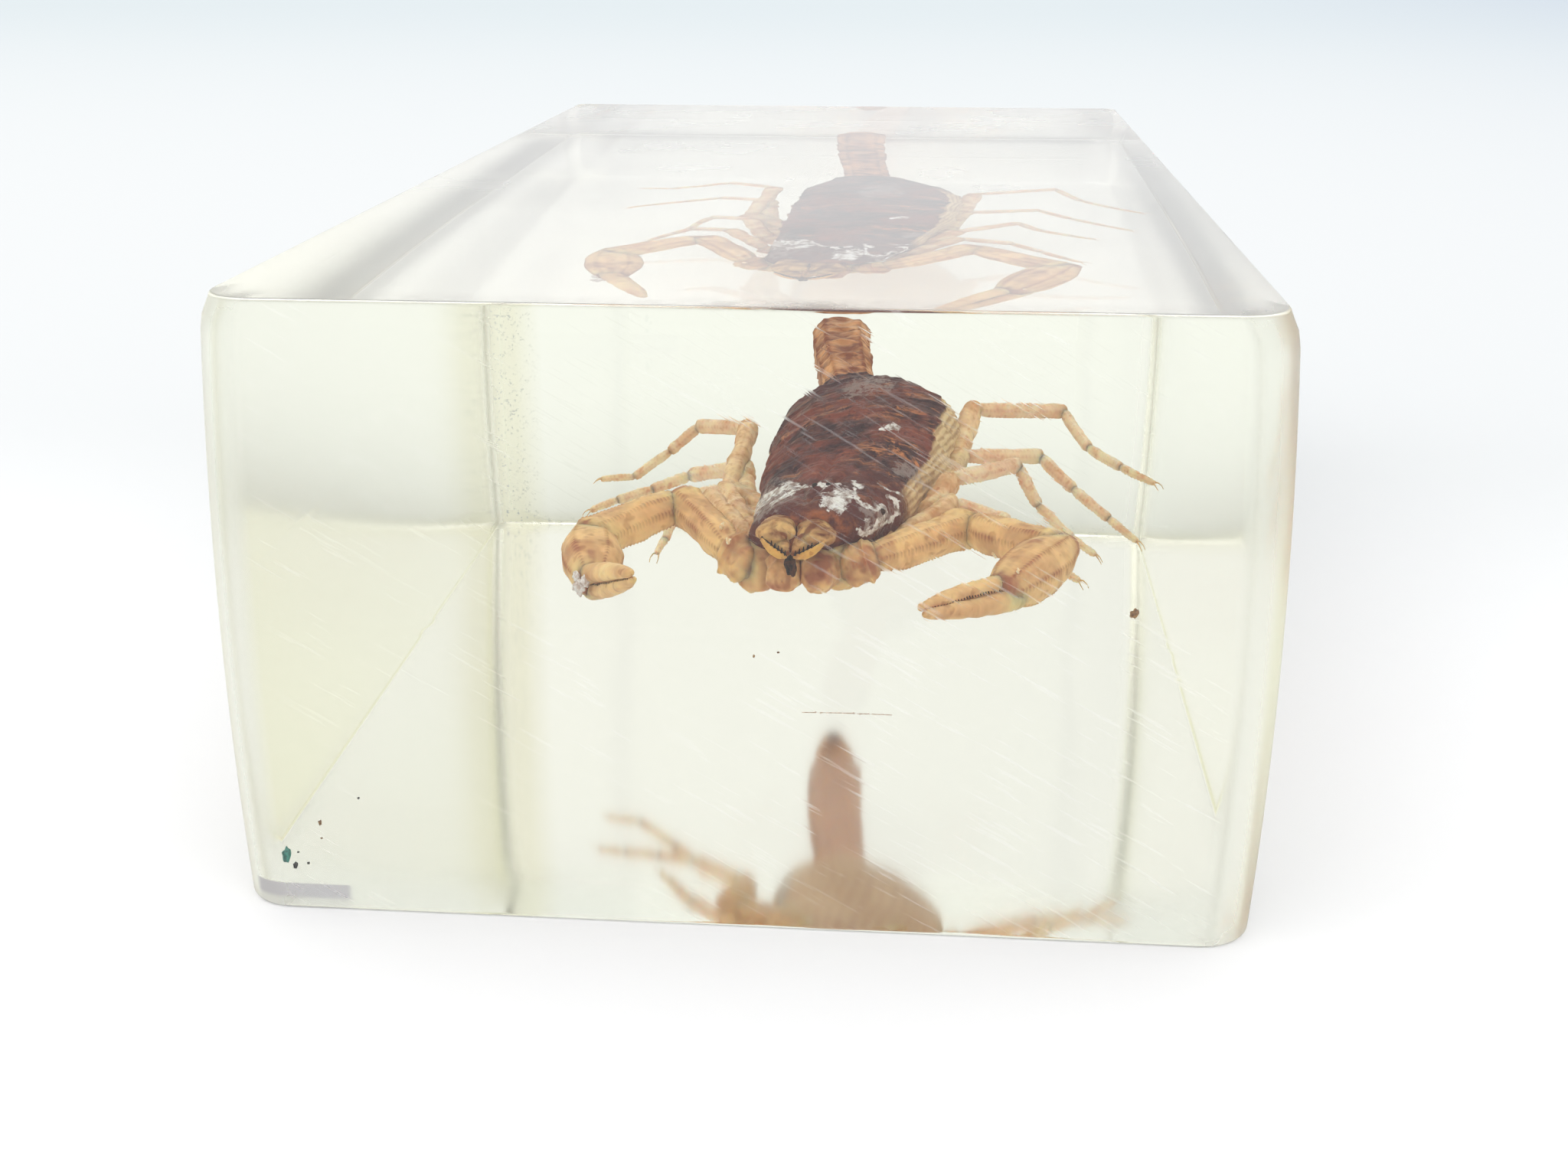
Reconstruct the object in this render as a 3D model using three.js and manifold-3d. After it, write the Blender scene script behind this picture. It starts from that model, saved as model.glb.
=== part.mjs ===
// A scorpion cast in a block of clear resin. Millimetres, +Z up. The origin is the middle of the
// block's resting face. The long axis lies along Y and the scorpion's head points towards -Y.
import * as THREE from 'three';
import { mergeVertices } from 'three/addons/utils/BufferGeometryUtils.js';
import Module from 'manifold-3d';

// The block
const BLOCK_WIDTH = 42; // across its sides' fullest height
const BLOCK_LENGTH = 76;
const BLOCK_HEIGHT = 25;
const CORNER_RADIUS = 2.2;
const CORNER_STEPS = 4;
const EDGE_BEVEL = 0.4;
const FRONT_LEAN = 1; // how far the front face leans back from its foot to its top
const SIDE_BOW = 0.5; // how far each side swells out, measured from its top edge
const BOW_HEIGHT = 11.5; // where the sides are fullest
const BOW_STEPS = 3;
const SEAM_HEIGHT = 12.4; // where the second pour lies on the first
const SEAM_GAP = 0.1;
const WELD_DISTANCE = 1e-5;

// The hollow that the scorpion lies in
const POCKET_CLEARANCE = 0.4;

// The body's rings, front to back: y, middle x, middle z, half width, half height
const BODY_ROLL = THREE.MathUtils.degToRad(11); // its right side lies higher
const BODY_SIDES = 12;
const BODY_RINGS = [
  [-17.8, 1.9, 12.3, 1.5, 0.7],
  [-17.3, 1.95, 12.2, 2.2, 1.15],
  [-15, 2.42, 11.8, 3.1, 1.8],
  [-12.5, 2.93, 12.0, 3.72, 2.15],
  [-10.6, 3.3, 12.2, 3.95, 2.35],
  [-8, 3.65, 12.5, 4.35, 2.45],
  [-4, 4.0, 12.9, 4.6, 2.55],
  [-1, 4.1, 13.1, 4.65, 2.5],
  [2, 3.85, 13.3, 4.15, 2.3],
  [4.8, 3.45, 13.5, 3.05, 1.95],
  [7, 3.2, 13.7, 1.75, 1.5],
];
const CARAPACE_END = -10.6;
const TERGITE_LENGTHS = [1.5, 1.9, 2.2, 2.6, 2.9, 3.0, 3.5];
const TERGITE_FLARE = 0.14; // each plate stands proud of the next one by twice this
const TERGITE_STEP = 0.12; // the length of the step between two plates

// The tail: joints from the body to the last ring, then the poison bulb and its sting
const TAIL_SIDES = 6;
const TAIL_JOINTS = [
  [3.15, 6.6, 13.7],
  [2.85, 10.2, 13.85],
  [2.55, 13.9, 13.95],
  [2.3, 17.9, 14.05],
  [2.05, 22.2, 14.1],
  [1.85, 27.9, 13.85],
];
const TAIL_HALF_WIDTHS = [1.28, 1.36, 1.45, 1.54, 1.62];
const TAIL_HALF_HEIGHT = 1.35;
const BULB = [
  { at: [1.85, 27.7, 13.6], w: 0.8, h: 0.8 },
  { at: [1.8, 28.5, 13.3], w: 1.15, h: 1.15 },
  { at: [1.75, 29.2, 12.9], w: 1.2, h: 1.2 },
  { at: [1.7, 29.8, 12.3], w: 0.95, h: 0.95 },
  { at: [1.7, 29.7, 11.6], w: 0.4, h: 0.4 },
  { at: [1.7, 29.1, 11.0], w: 0.1, h: 0.1 },
];

// Each leg's joints: under the body, hip, knee, then the ends of patella, tibia, basitarsus, foot
const LEG_SIDES = 5;
const LEG_JOINTS = {
  right_1: [
    [3.6, -14.6, 10.4], [5.6, -14.3, 11.0], [8.4, -11.0, 12.3], [10.9, -11.5, 11.6],
    [12.3, -12.6, 10.6], [13.4, -13.6, 9.9], [14.2, -14.2, 9.5],
  ],
  right_2: [
    [3.9, -13.4, 10.4], [6.6, -12.0, 11.2], [8.3, -9.8, 13.2], [11.4, -7.4, 13.5],
    [12.4, -7.9, 11.7], [14.0, -8.1, 10.2], [15.2, -8.3, 9.4],
  ],
  right_3: [
    [4.1, -12.2, 10.4], [7.4, -9.4, 11.5], [8.7, -4.2, 13.2], [12.6, -3.0, 13.1],
    [14.2, -4.4, 11.8], [15.9, -5.4, 10.6], [17.3, -6.0, 9.6],
  ],
  right_4: [
    [4.3, -11.0, 10.6], [7.9, -7.6, 11.8], [9.3, 0.9, 14.6], [13.9, 3.4, 14.2],
    [15.1, 0.5, 12.9], [16.6, -1.2, 12.3], [18.2, -2.5, 11.8],
  ],
  left_1: [
    [1.4, -14.6, 10.2], [-1.0, -13.2, 10.7], [-3.2, -9.3, 11.9], [-5.2, -8.8, 11.5],
    [-6.0, -9.8, 11.1], [-6.6, -10.8, 10.9], [-7.0, -11.6, 10.7],
  ],
  left_2: [
    [1.6, -13.4, 10.2], [-1.3, -10.4, 10.6], [-2.6, -5.8, 11.6], [-4.6, -4.8, 10.9],
    [-5.2, -5.6, 9.9], [-5.5, -6.4, 9.2], [-5.9, -7.1, 8.6],
  ],
  left_3: [
    [1.8, -12.2, 10.2], [-1.5, -7.8, 10.6], [-2.1, 0.3, 11.5], [-4.9, 1.5, 10.8],
    [-6.8, 0.6, 10.2], [-8.5, -0.3, 9.8], [-9.8, -1.1, 9.4],
  ],
  left_4: [
    [2.1, -11.0, 10.4], [-2.7, -4.2, 11.0], [-2.1, 3.7, 12.9], [-4.8, 5.6, 12.6],
    [-6.3, 5.4, 11.3], [-8.2, 5.3, 9.9], [-10.0, 5.4, 9.7],
  ],
};
const LEG_HALF_SIZES = [[0.85, 0.8], [0.52, 0.65], [0.4, 0.42]];
const FOOT_HALF_SIZES = [[0.28, 0.31], [0.25, 0.27], [0.22, 0.23], [0.12, 0.13]];

// Each claw arm's joints: under the mouth, arm root, shoulder, knee, wrist, palm's end, finger tips
const ARM_SIDES = 6;
const ARM_JOINTS = {
  right: [
    [3.1, -14.2, 10.5], [3.5, -17.1, 10.5], [4.7, -17.1, 10.9], [9.1, -12.8, 11.6],
    [13.0, -17.2, 11.5], [10.5, -21.7, 10.6], [7.2, -26.0, 10.8],
  ],
  left: [
    [0.6, -14.2, 10.3], [-0.5, -17.0, 10.3], [-1.6, -16.4, 10.9], [-4.2, -11.9, 12.2],
    [-8.2, -15.3, 11.0], [-7.5, -19.5, 10.1], [-5.3, -24.6, 11.6],
  ],
};
const ARM_HALF_SIZES = [[1.1, 1.15], [0.95, 1.0], [0.78, 0.85], [0.92, 0.9]];
const PALM_BACK = 1.1; // how far the palm swells back past the wrist
const PALM_HALF_SIZES = [[0.75, 0.7], [1.3, 1.15], [1.3, 1.2], [0.75, 0.8]];
const FINGER_SPREAD = 0.36; // each finger's distance from the line between the two
const FINGER_HALF_SIZES = [[0.5, 0.46], [0.42, 0.36], [0.22, 0.18]];
const FINGER_PLACES = [-0.15, 0.5, 1]; // from the palm's end to the tips
const FINGER_CLOSING = 0.35; // share of the spread that is lost from one place to the next

// The mouth's two small pincers: root, bulge and tip of each
const PINCER_SIDES = 6;
const PINCERS = [
  [[0.75, -16.8, 12.3], [0.55, -19.0, 12.3], [0.75, -20.5, 11.5]],
  [[2.3, -16.8, 12.4], [2.4, -18.9, 12.15], [2.1, -20.5, 11.5]],
];
const PINCER_HALF_SIZES = [[0.6, 0.55], [0.74, 0.58], [0.26, 0.24]];

// The arms' root plates, which meet under the mouth
const ROOT_PLATES = [
  { at: [2.1, -14.4, 10.6], w: 2.2, h: 0.85 },
  { at: [1.75, -17.1, 10.45], w: 2.0, h: 0.9 },
  { at: [1.65, -18.5, 10.35], w: 1.3, h: 0.7 },
];

// The two combs under the belly
const COMBS = [
  [[3.4, -10.6, 10.1], [6.2, -7.4, 10.9]],
  [[2.2, -10.6, 9.9], [0.4, -7.2, 10.2]],
];
const COMB_HALF_SIZE = [0.55, 0.22];

// How a limb segment swells along its length: share of the length, share of the full size
const SPINDLE = [[0, 0.6], [0.2, 1], [0.8, 0.92], [1, 0.55]];
const LEAF = [[0, 0.65], [0.4, 1], [1, 0.6]];
const HOLLOW = [[0, 1], [1, 1]]; // in the hollow a segment keeps its full size from end to end
const JOINT_REACH = 0.45; // how far a segment runs past its joint, as a share of its thickness

const wasm = await Module();
wasm.setup();

// A manifold solid from a closed three.js geometry.
function solid(geometry) {
  const bare = geometry.clone();
  bare.deleteAttribute('normal');
  bare.deleteAttribute('uv');
  const merged = mergeVertices(bare, WELD_DISTANCE);
  const mesh = new wasm.Mesh({
    numProp: 3,
    vertProperties: new Float32Array(merged.attributes.position.array),
    triVerts: new Uint32Array(merged.index.array),
  });
  return new wasm.Manifold(mesh);
}

// A three.js mesh from a manifold solid.
function mesh(name, body, material) {
  const { vertProperties, triVerts } = body.getMesh();
  const geometry = new THREE.BufferGeometry();
  geometry.setAttribute('position', new THREE.BufferAttribute(vertProperties, 3));
  geometry.setIndex(new THREE.BufferAttribute(triVerts, 1));
  geometry.computeVertexNormals();
  const part = new THREE.Mesh(geometry, material);
  part.name = name;
  return part;
}

function join(solids) {
  return solids.reduce((whole, next) => whole.add(next));
}

// A closed tapering form through a row of stations, each with a middle, a half width and a half
// height. The sections stand square to the row, with their height in the plane of `up`. They are
// round, and with four sides they are the rectangle that holds the round one.
function loft(stations, sides, up = new THREE.Vector3(0, 0, 1)) {
  const rings = stations.map(({ at, w, h }) => ({ at: new THREE.Vector3(...at), w, h }));
  const last = rings.length - 1;
  const geometry = sides === 4
    ? new THREE.CylinderGeometry(Math.SQRT2, Math.SQRT2, 1, sides, last, false, Math.PI / sides)
    : new THREE.CylinderGeometry(1, 1, 1, sides, last);
  const position = geometry.attributes.position;
  const point = new THREE.Vector3();
  for (let i = 0; i < position.count; i += 1) {
    point.fromBufferAttribute(position, i);
    const k = Math.round((0.5 - point.y) * last);
    const { at, w, h } = rings[k];
    const ahead = rings[Math.min(k + 1, last)].at;
    const behind = rings[Math.max(k - 1, 0)].at;
    const along = ahead.clone().sub(behind).normalize();
    const across = along.clone().cross(up).normalize();
    const above = across.clone().cross(along);
    const { x, z } = point;
    point.copy(at).addScaledVector(across, x * w).addScaledVector(above, -z * h);
    position.setXYZ(i, ...point);
  }
  return solid(geometry);
}

// A row of stations swollen by a clearance, and longer by it at both ends.
function swell(stations, clearance) {
  const last = stations.length - 1;
  return stations.map(({ at, w, h }, k) => {
    const place = new THREE.Vector3(...at);
    const away = new THREE.Vector3(...stations[k === 0 ? 1 : last - 1].at).sub(place).normalize();
    if (k === 0 || k === last) place.addScaledVector(away, -clearance);
    return { at: place.toArray(), w: w + clearance, h: h + clearance };
  });
}

// A form through a row of stations. With a clearance it is the square hollow that holds the form.
function form(stations, sides, clearance, up) {
  return loft(swell(stations, clearance), clearance > 0 ? 4 : sides, up);
}

// One limb segment from joint to joint, which swells as its shape says and runs a little past
// both joints.
function segment(from, to, [w, h], shape, sides, clearance) {
  const start = new THREE.Vector3(...from);
  const end = new THREE.Vector3(...to);
  const length = start.distanceTo(end);
  const reach = JOINT_REACH * Math.min(w, h);
  const profile = clearance > 0 ? HOLLOW : shape;
  const stations = profile.map(([share, size]) => {
    const distance = THREE.MathUtils.lerp(-reach, length + reach, share);
    return { at: start.clone().lerp(end, distance / length).toArray(), w: w * size, h: h * size };
  });
  return form(stations, sides, clearance);
}

// The body's ring at any y, between the given rings.
function bodyRing(y) {
  const k = Math.max(1, BODY_RINGS.findIndex((ring) => ring[0] >= y));
  const [before, after] = [BODY_RINGS[k - 1], BODY_RINGS[k]];
  const t = (y - before[0]) / (after[0] - before[0]);
  const [, x, z, w, h] = before.map((value, i) => THREE.MathUtils.lerp(value, after[i], t));
  return { at: [x, y, z], w, h };
}

// The shield over the head and the seven plates of the back, each flared over the next one.
function body(clearance) {
  const up = new THREE.Vector3(-Math.sin(BODY_ROLL), 0, Math.cos(BODY_ROLL));
  if (clearance > 0) {
    const rings = BODY_RINGS.map(([y]) => bodyRing(y));
    return loft(swell(rings, clearance + TERGITE_FLARE), BODY_SIDES, up);
  }
  const rings = BODY_RINGS.filter(([y]) => y < CARAPACE_END).map(([y]) => bodyRing(y));
  const flared = (y, flare) => {
    const ring = bodyRing(y);
    return { at: ring.at, w: ring.w + flare, h: ring.h + flare };
  };
  rings.push(flared(CARAPACE_END, TERGITE_FLARE));
  let front = CARAPACE_END;
  for (const length of TERGITE_LENGTHS) {
    rings.push(flared(front + TERGITE_STEP, -TERGITE_FLARE));
    front = Math.min(front + length, BODY_RINGS.at(-1)[0]);
    rings.push(flared(front, TERGITE_FLARE));
  }
  return loft(rings, BODY_SIDES, up);
}

function tail(clearance) {
  const pieces = TAIL_HALF_WIDTHS.map((w, k) => {
    const size = [w, TAIL_HALF_HEIGHT];
    return segment(TAIL_JOINTS[k], TAIL_JOINTS[k + 1], size, SPINDLE, TAIL_SIDES, clearance);
  });
  pieces.push(form(BULB, TAIL_SIDES, clearance, new THREE.Vector3(1, 0, 0)));
  return join(pieces);
}

// A leg: hip, thigh and knee piece, then the three thin pieces of the foot in one tapering row.
function leg(joints, clearance) {
  const pieces = LEG_HALF_SIZES.map((size, k) => (
    segment(joints[k], joints[k + 1], size, LEAF, LEG_SIDES, clearance)
  ));
  const foot = FOOT_HALF_SIZES.map(([w, h], k) => ({ at: joints[k + 3], w, h }));
  pieces.push(form(foot, LEG_SIDES, clearance));
  return join(pieces);
}

// A claw arm: four segments, then a swollen palm and two long fingers that lie closed.
function arm(joints, clearance) {
  const pieces = ARM_HALF_SIZES.map((size, k) => (
    segment(joints[k], joints[k + 1], size, SPINDLE, ARM_SIDES, clearance)
  ));
  const [wrist, palmEnd, tip] = joints.slice(4).map((joint) => new THREE.Vector3(...joint));
  const palmLength = wrist.distanceTo(palmEnd);
  const palm = PALM_HALF_SIZES.map(([w, h], k) => {
    const share = k / (PALM_HALF_SIZES.length - 1);
    const distance = THREE.MathUtils.lerp(-PALM_BACK, palmLength, share);
    return { at: wrist.clone().lerp(palmEnd, distance / palmLength).toArray(), w, h };
  });
  pieces.push(form(palm, ARM_SIDES, clearance));
  for (const side of [-1, 1]) {
    const finger = FINGER_HALF_SIZES.map(([w, h], k) => {
      const at = palmEnd.clone().lerp(tip, FINGER_PLACES[k]);
      at.z += side * FINGER_SPREAD * (1 - FINGER_CLOSING * k);
      return { at: at.toArray(), w, h };
    });
    pieces.push(form(finger, ARM_SIDES, clearance));
  }
  return join(pieces);
}

function pincer(places, clearance) {
  const stations = places.map((at, k) => {
    const [w, h] = PINCER_HALF_SIZES[k];
    return { at, w, h };
  });
  return form(stations, PINCER_SIDES, clearance);
}

// The whole animal in one piece. With a clearance it is the hollow that holds the animal.
function scorpion(clearance) {
  return join([
    body(clearance),
    tail(clearance),
    ...Object.values(LEG_JOINTS).map((joints) => leg(joints, clearance)),
    ...Object.values(ARM_JOINTS).map((joints) => arm(joints, clearance)),
    ...PINCERS.map((places) => pincer(places, clearance)),
    form(ROOT_PLATES, ARM_SIDES, clearance),
    ...COMBS.map(([from, to]) => (
      segment(from, to, COMB_HALF_SIZE, LEAF, LEG_SIDES, clearance)
    )),
  ]);
}

// The block's outline seen from above, with round corners.
function blockOutline() {
  const x = BLOCK_WIDTH / 2 - EDGE_BEVEL;
  const y = BLOCK_LENGTH / 2 - EDGE_BEVEL;
  const r = CORNER_RADIUS;
  const quarter = Math.PI / 2;
  const outline = new THREE.Shape();
  outline.moveTo(x, r - y);
  outline.absarc(x - r, y - r, r, 0, quarter);
  outline.absarc(r - x, y - r, r, quarter, 2 * quarter);
  outline.absarc(r - x, r - y, r, 2 * quarter, 3 * quarter);
  outline.absarc(x - r, r - y, r, 3 * quarter, 4 * quarter);
  return outline;
}

// The block: its sides bow out a little and its front face leans back.
function block() {
  const geometry = new THREE.ExtrudeGeometry(blockOutline(), {
    depth: BLOCK_HEIGHT - 2 * EDGE_BEVEL,
    steps: BOW_STEPS,
    curveSegments: CORNER_STEPS,
    bevelThickness: EDGE_BEVEL,
    bevelSize: EDGE_BEVEL,
    bevelSegments: 1,
  });
  geometry.translate(0, 0, EDGE_BEVEL);
  const position = geometry.attributes.position;
  for (let i = 0; i < position.count; i += 1) {
    const y = position.getY(i);
    const z = position.getZ(i);
    if (y < 0) position.setY(i, y + FRONT_LEAN * z / BLOCK_HEIGHT);
    const inset = SIDE_BOW * ((z - BOW_HEIGHT) / (BLOCK_HEIGHT - BOW_HEIGHT)) ** 2;
    position.setX(i, position.getX(i) * (1 - 2 * inset / BLOCK_WIDTH));
  }
  return solid(geometry);
}

// The part of the block between two heights, with the scorpion's hollow left open in it.
function pour(bottom, top) {
  const slab = new THREE.BoxGeometry(2 * BLOCK_WIDTH, 2 * BLOCK_LENGTH, top - bottom);
  slab.translate(0, 0, (top + bottom) / 2);
  return block().intersect(solid(slab)).subtract(scorpion(POCKET_CLEARANCE));
}

const resin = new THREE.MeshStandardMaterial({
  color: '#e9ecd9',
  roughness: 0.06,
  metalness: 0,
  transparent: true,
  opacity: 0.35,
});
const cuticle = new THREE.MeshStandardMaterial({ color: '#7d4a24', roughness: 0.42, metalness: 0 });

const part = new THREE.Group();
part.add(mesh('resin_lower', pour(0, SEAM_HEIGHT - SEAM_GAP / 2), resin));
part.add(mesh('resin_upper', pour(SEAM_HEIGHT + SEAM_GAP / 2, BLOCK_HEIGHT), resin));
part.add(mesh('scorpion', scorpion(0), cuticle));

export default part;
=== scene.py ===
"""A dried scorpion sealed in a block of clear cast resin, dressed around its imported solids.

Lengths in the tables are millimetres. The frame's origin is the middle of the block's resting face,
with the scorpion's head towards -Y and +Z up.
"""

import math

import bpy
import numpy as np
from mathutils import Matrix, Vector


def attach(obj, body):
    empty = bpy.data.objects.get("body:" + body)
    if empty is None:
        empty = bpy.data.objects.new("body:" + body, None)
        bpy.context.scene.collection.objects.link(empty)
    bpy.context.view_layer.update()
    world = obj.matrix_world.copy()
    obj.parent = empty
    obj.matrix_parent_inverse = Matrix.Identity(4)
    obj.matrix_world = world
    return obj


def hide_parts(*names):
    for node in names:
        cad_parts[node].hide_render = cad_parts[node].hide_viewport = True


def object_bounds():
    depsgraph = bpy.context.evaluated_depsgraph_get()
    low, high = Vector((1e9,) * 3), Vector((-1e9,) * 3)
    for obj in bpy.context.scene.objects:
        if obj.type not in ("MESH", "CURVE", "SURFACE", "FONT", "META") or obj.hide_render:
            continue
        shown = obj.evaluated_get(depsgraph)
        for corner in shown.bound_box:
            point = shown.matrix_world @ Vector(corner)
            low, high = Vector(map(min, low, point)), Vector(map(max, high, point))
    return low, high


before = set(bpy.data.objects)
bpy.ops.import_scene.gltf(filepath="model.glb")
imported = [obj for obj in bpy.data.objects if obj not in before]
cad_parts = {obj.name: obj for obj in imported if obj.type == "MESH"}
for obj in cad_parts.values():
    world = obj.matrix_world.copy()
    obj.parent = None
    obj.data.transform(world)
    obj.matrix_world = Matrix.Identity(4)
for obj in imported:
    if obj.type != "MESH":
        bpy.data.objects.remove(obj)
CAD_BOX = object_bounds()

bl_info = {
    "name": "Scorpion in Resin Block",
    "version": (1, 0, 0),
    "blender": (4, 5, 0),
    "location": "View3D > Sidebar > Specimen",
    "description": "Builds a scorpion cast in a clear resin block, piece by piece",
    "category": "Add Mesh",
}

MM = 0.001
BODY = "root"
SHELL_NODE = "scorpion"
RESIN_NODES = ("resin_lower", "resin_upper")

# The body: place along Y, middle x and z, half width and half height.
BODY_ROLL = math.radians(11)
BODY_RINGS = np.array([
    [-17.8, 1.9, 12.3, 1.5, 0.7], [-17.3, 1.95, 12.2, 2.2, 1.15], [-15, 2.42, 11.8, 3.1, 1.8],
    [-12.5, 2.93, 12.0, 3.72, 2.15], [-10.6, 3.3, 12.2, 3.95, 2.35], [-8, 3.65, 12.5, 4.35, 2.45],
    [-4, 4.0, 12.9, 4.6, 2.55], [-1, 4.1, 13.1, 4.65, 2.5], [2, 3.85, 13.3, 4.15, 2.3],
    [4.8, 3.45, 13.5, 3.05, 1.95], [7, 3.2, 13.7, 1.75, 1.5],
])
CARAPACE_END = -10.6
TERGITE_LENGTHS = (1.5, 1.9, 2.2, 2.6, 2.9, 3.0, 3.5)
TERGITE_FLARE = 0.14
EYE_HILL = (2.45, -14.9)
MIDDLE_EYES = ((2.13, -15.02, 13.818), (2.75, -15.02, 13.88))
SIDE_EYES = ((0.55, -17.0, 12.75), (0.35, -16.75, 12.6), (3.35, -17.1, 13.1), (3.6, -16.85, 13.1))

# The tail: the joints of its five rings, then the poison bulb and sting with their radii.
TAIL_JOINTS = [
    [3.15, 6.6, 13.7], [2.85, 10.2, 13.85], [2.55, 13.9, 13.95],
    [2.3, 17.9, 14.05], [2.05, 22.2, 14.1], [1.85, 27.9, 13.85],
]
TAIL_HALF_WIDTHS = (1.28, 1.36, 1.45, 1.54, 1.62)
TAIL_HALF_HEIGHT = 1.35
BULB = [
    [1.85, 27.7, 13.6, 0.8, 0.8], [1.8, 28.5, 13.3, 1.15, 1.15], [1.75, 29.2, 12.9, 1.2, 1.2],
    [1.7, 29.6, 12.4, 0.95, 0.95], [1.7, 29.3, 11.85, 0.5, 0.5], [1.66, 28.6, 11.6, 0.06, 0.06],
]

# Each leg: under the body, hip, knee, ends of patella, shin and first foot joint, and the foot's tip.
LEGS = {
    "right_1": [[3.6, -14.6, 10.4], [5.6, -14.3, 11.0], [8.4, -11.0, 12.3], [10.9, -11.5, 11.6],
                [12.3, -12.6, 10.6], [13.4, -13.6, 9.9], [14.2, -14.2, 9.5]],
    "right_2": [[3.9, -13.4, 10.4], [6.6, -12.0, 11.2], [8.3, -9.8, 13.2], [11.4, -7.4, 13.5],
                [12.4, -7.9, 11.7], [14.0, -8.1, 10.2], [15.2, -8.3, 9.4]],
    "right_3": [[4.1, -12.2, 10.4], [7.4, -9.4, 11.5], [8.7, -4.2, 13.2], [12.6, -3.0, 13.1],
                [14.2, -4.4, 11.8], [15.9, -5.4, 10.6], [17.3, -6.0, 9.6]],
    "right_4": [[4.3, -11.0, 10.6], [7.9, -7.6, 11.8], [9.3, 0.9, 14.6], [13.9, 3.4, 14.2],
                [15.1, 0.5, 12.9], [16.6, -1.2, 12.3], [18.2, -2.5, 11.8]],
    "left_1": [[1.4, -14.6, 10.2], [-1.0, -13.2, 10.7], [-3.2, -9.3, 11.9], [-5.2, -8.8, 11.5],
               [-6.0, -9.8, 11.1], [-6.6, -10.8, 10.9], [-7.0, -11.6, 10.7]],
    "left_2": [[1.6, -13.4, 10.2], [-1.3, -10.4, 10.6], [-2.6, -5.8, 11.6], [-4.6, -4.8, 10.9],
               [-5.2, -5.6, 9.9], [-5.5, -6.4, 9.2], [-5.9, -7.1, 8.6]],
    "left_3": [[1.8, -12.2, 10.2], [-1.5, -7.8, 10.6], [-2.1, 0.3, 11.5], [-4.9, 1.5, 10.8],
               [-6.8, 0.6, 10.2], [-8.5, -0.3, 9.8], [-9.8, -1.1, 9.4]],
    "left_4": [[2.1, -11.0, 10.4], [-2.7, -4.2, 11.0], [-2.1, 3.7, 12.9], [-4.8, 5.6, 12.6],
               [-6.3, 5.4, 11.3], [-8.2, 5.3, 9.9], [-10.0, 5.4, 9.7]],
}
LEG_SIZES = [[0.85, 0.8], [0.52, 0.62], [0.38, 0.4], [0.27, 0.3], [0.23, 0.25], [0.2, 0.21]]

# Each arm: under the mouth, root, shoulder, knee, wrist, palm's end and finger tips.
ARMS = {
    "right": [[3.1, -14.2, 10.5], [3.5, -17.1, 10.5], [4.7, -17.1, 10.9], [9.1, -12.8, 11.6],
              [13.0, -17.2, 11.5], [10.5, -21.7, 10.6], [7.2, -26.0, 10.8]],
    "left": [[0.6, -14.2, 10.3], [-0.5, -17.0, 10.3], [-1.6, -16.4, 10.9], [-4.2, -11.9, 12.2],
             [-8.2, -15.3, 11.0], [-7.5, -19.5, 10.1], [-5.3, -24.6, 11.6]],
}
ARM_SIZES = [[1.1, 1.15], [0.95, 1.0], [0.78, 0.85], [0.92, 0.9]]
PALM_BACK = 1.1
PALM_SIZES = [[0.75, 0.7], [1.25, 1.1], [1.3, 1.2], [0.75, 0.8]]
FINGER_SPREAD = 0.36
FINGER_SIZES = [[0.56, 0.5], [0.5, 0.42], [0.4, 0.33], [0.22, 0.18]]

# Angles around each section where ridges run along the shell.
LIMB_KEELS = (0.1, 0.95, 2.2, 3.05, 4.1, 5.3)
PALM_KEELS = (0.1, 1.0, 2.1, 3.05, 4.1, 5.3)
TAIL_KEELS = (0.32, 1.02, 2.12, 2.82, 3.55, 4.35, 5.07, 5.87)
CREST_LINES = (1.5, 4.8)

# The mouth's two pincers: stations of each hand and of its lower lip with half sizes, the root and tip
# of its finger, and the place of the hole between them, where a dark lump is painted shade.
MOUTH_HANDS = [
    [[0.75, -16.8, 12.3, 0.6, 0.5], [0.62, -18.2, 12.5, 0.8, 0.5], [0.55, -19.2, 12.45, 0.85, 0.45],
     [0.6, -19.8, 12.35, 0.55, 0.3]],
    [[2.3, -16.8, 12.4, 0.6, 0.5], [2.35, -18.2, 12.4, 0.84, 0.45], [2.38, -19.1, 12.35, 0.86, 0.4],
     [2.3, -19.7, 12.25, 0.6, 0.26]],
]
MOUTH_LIPS = [
    [[0.8, -19.3, 12.3, 0.34, 0.26], [0.98, -20.0, 12.05, 0.26, 0.22],
     [1.16, -20.45, 11.85, 0.1, 0.12]],
    [[1.85, -19.3, 12.25, 0.4, 0.26], [1.62, -20.0, 12.05, 0.28, 0.22],
     [1.42, -20.45, 11.85, 0.1, 0.12]],
]
MOUTH_FINGERS = [
    [[0.0, -20.0, 12.36], [1.14, -20.7, 11.74]],
    [[2.74, -20.0, 12.26], [1.46, -20.7, 11.74]],
]
MOUTH_HOLE_SHADE = (1.34, -20.2, 11.2)

# The root plates of the arms, which meet under the mouth: two halves with half sizes.
ROOT_PLATES = [
    [[1.2, -14.4, 10.55, 1.15, 0.85], [0.92, -17.1, 10.4, 1.0, 0.9], [0.88, -18.6, 10.3, 0.66, 0.7]],
    [[3.0, -14.4, 10.65, 1.15, 0.85], [2.62, -17.1, 10.5, 1.0, 0.9], [2.38, -18.6, 10.4, 0.66, 0.72]],
]
COMBS = [[[3.4, -10.6, 10.1], [6.2, -7.4, 10.9]], [[2.2, -10.6, 9.9], [0.4, -7.2, 10.2]]]

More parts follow.
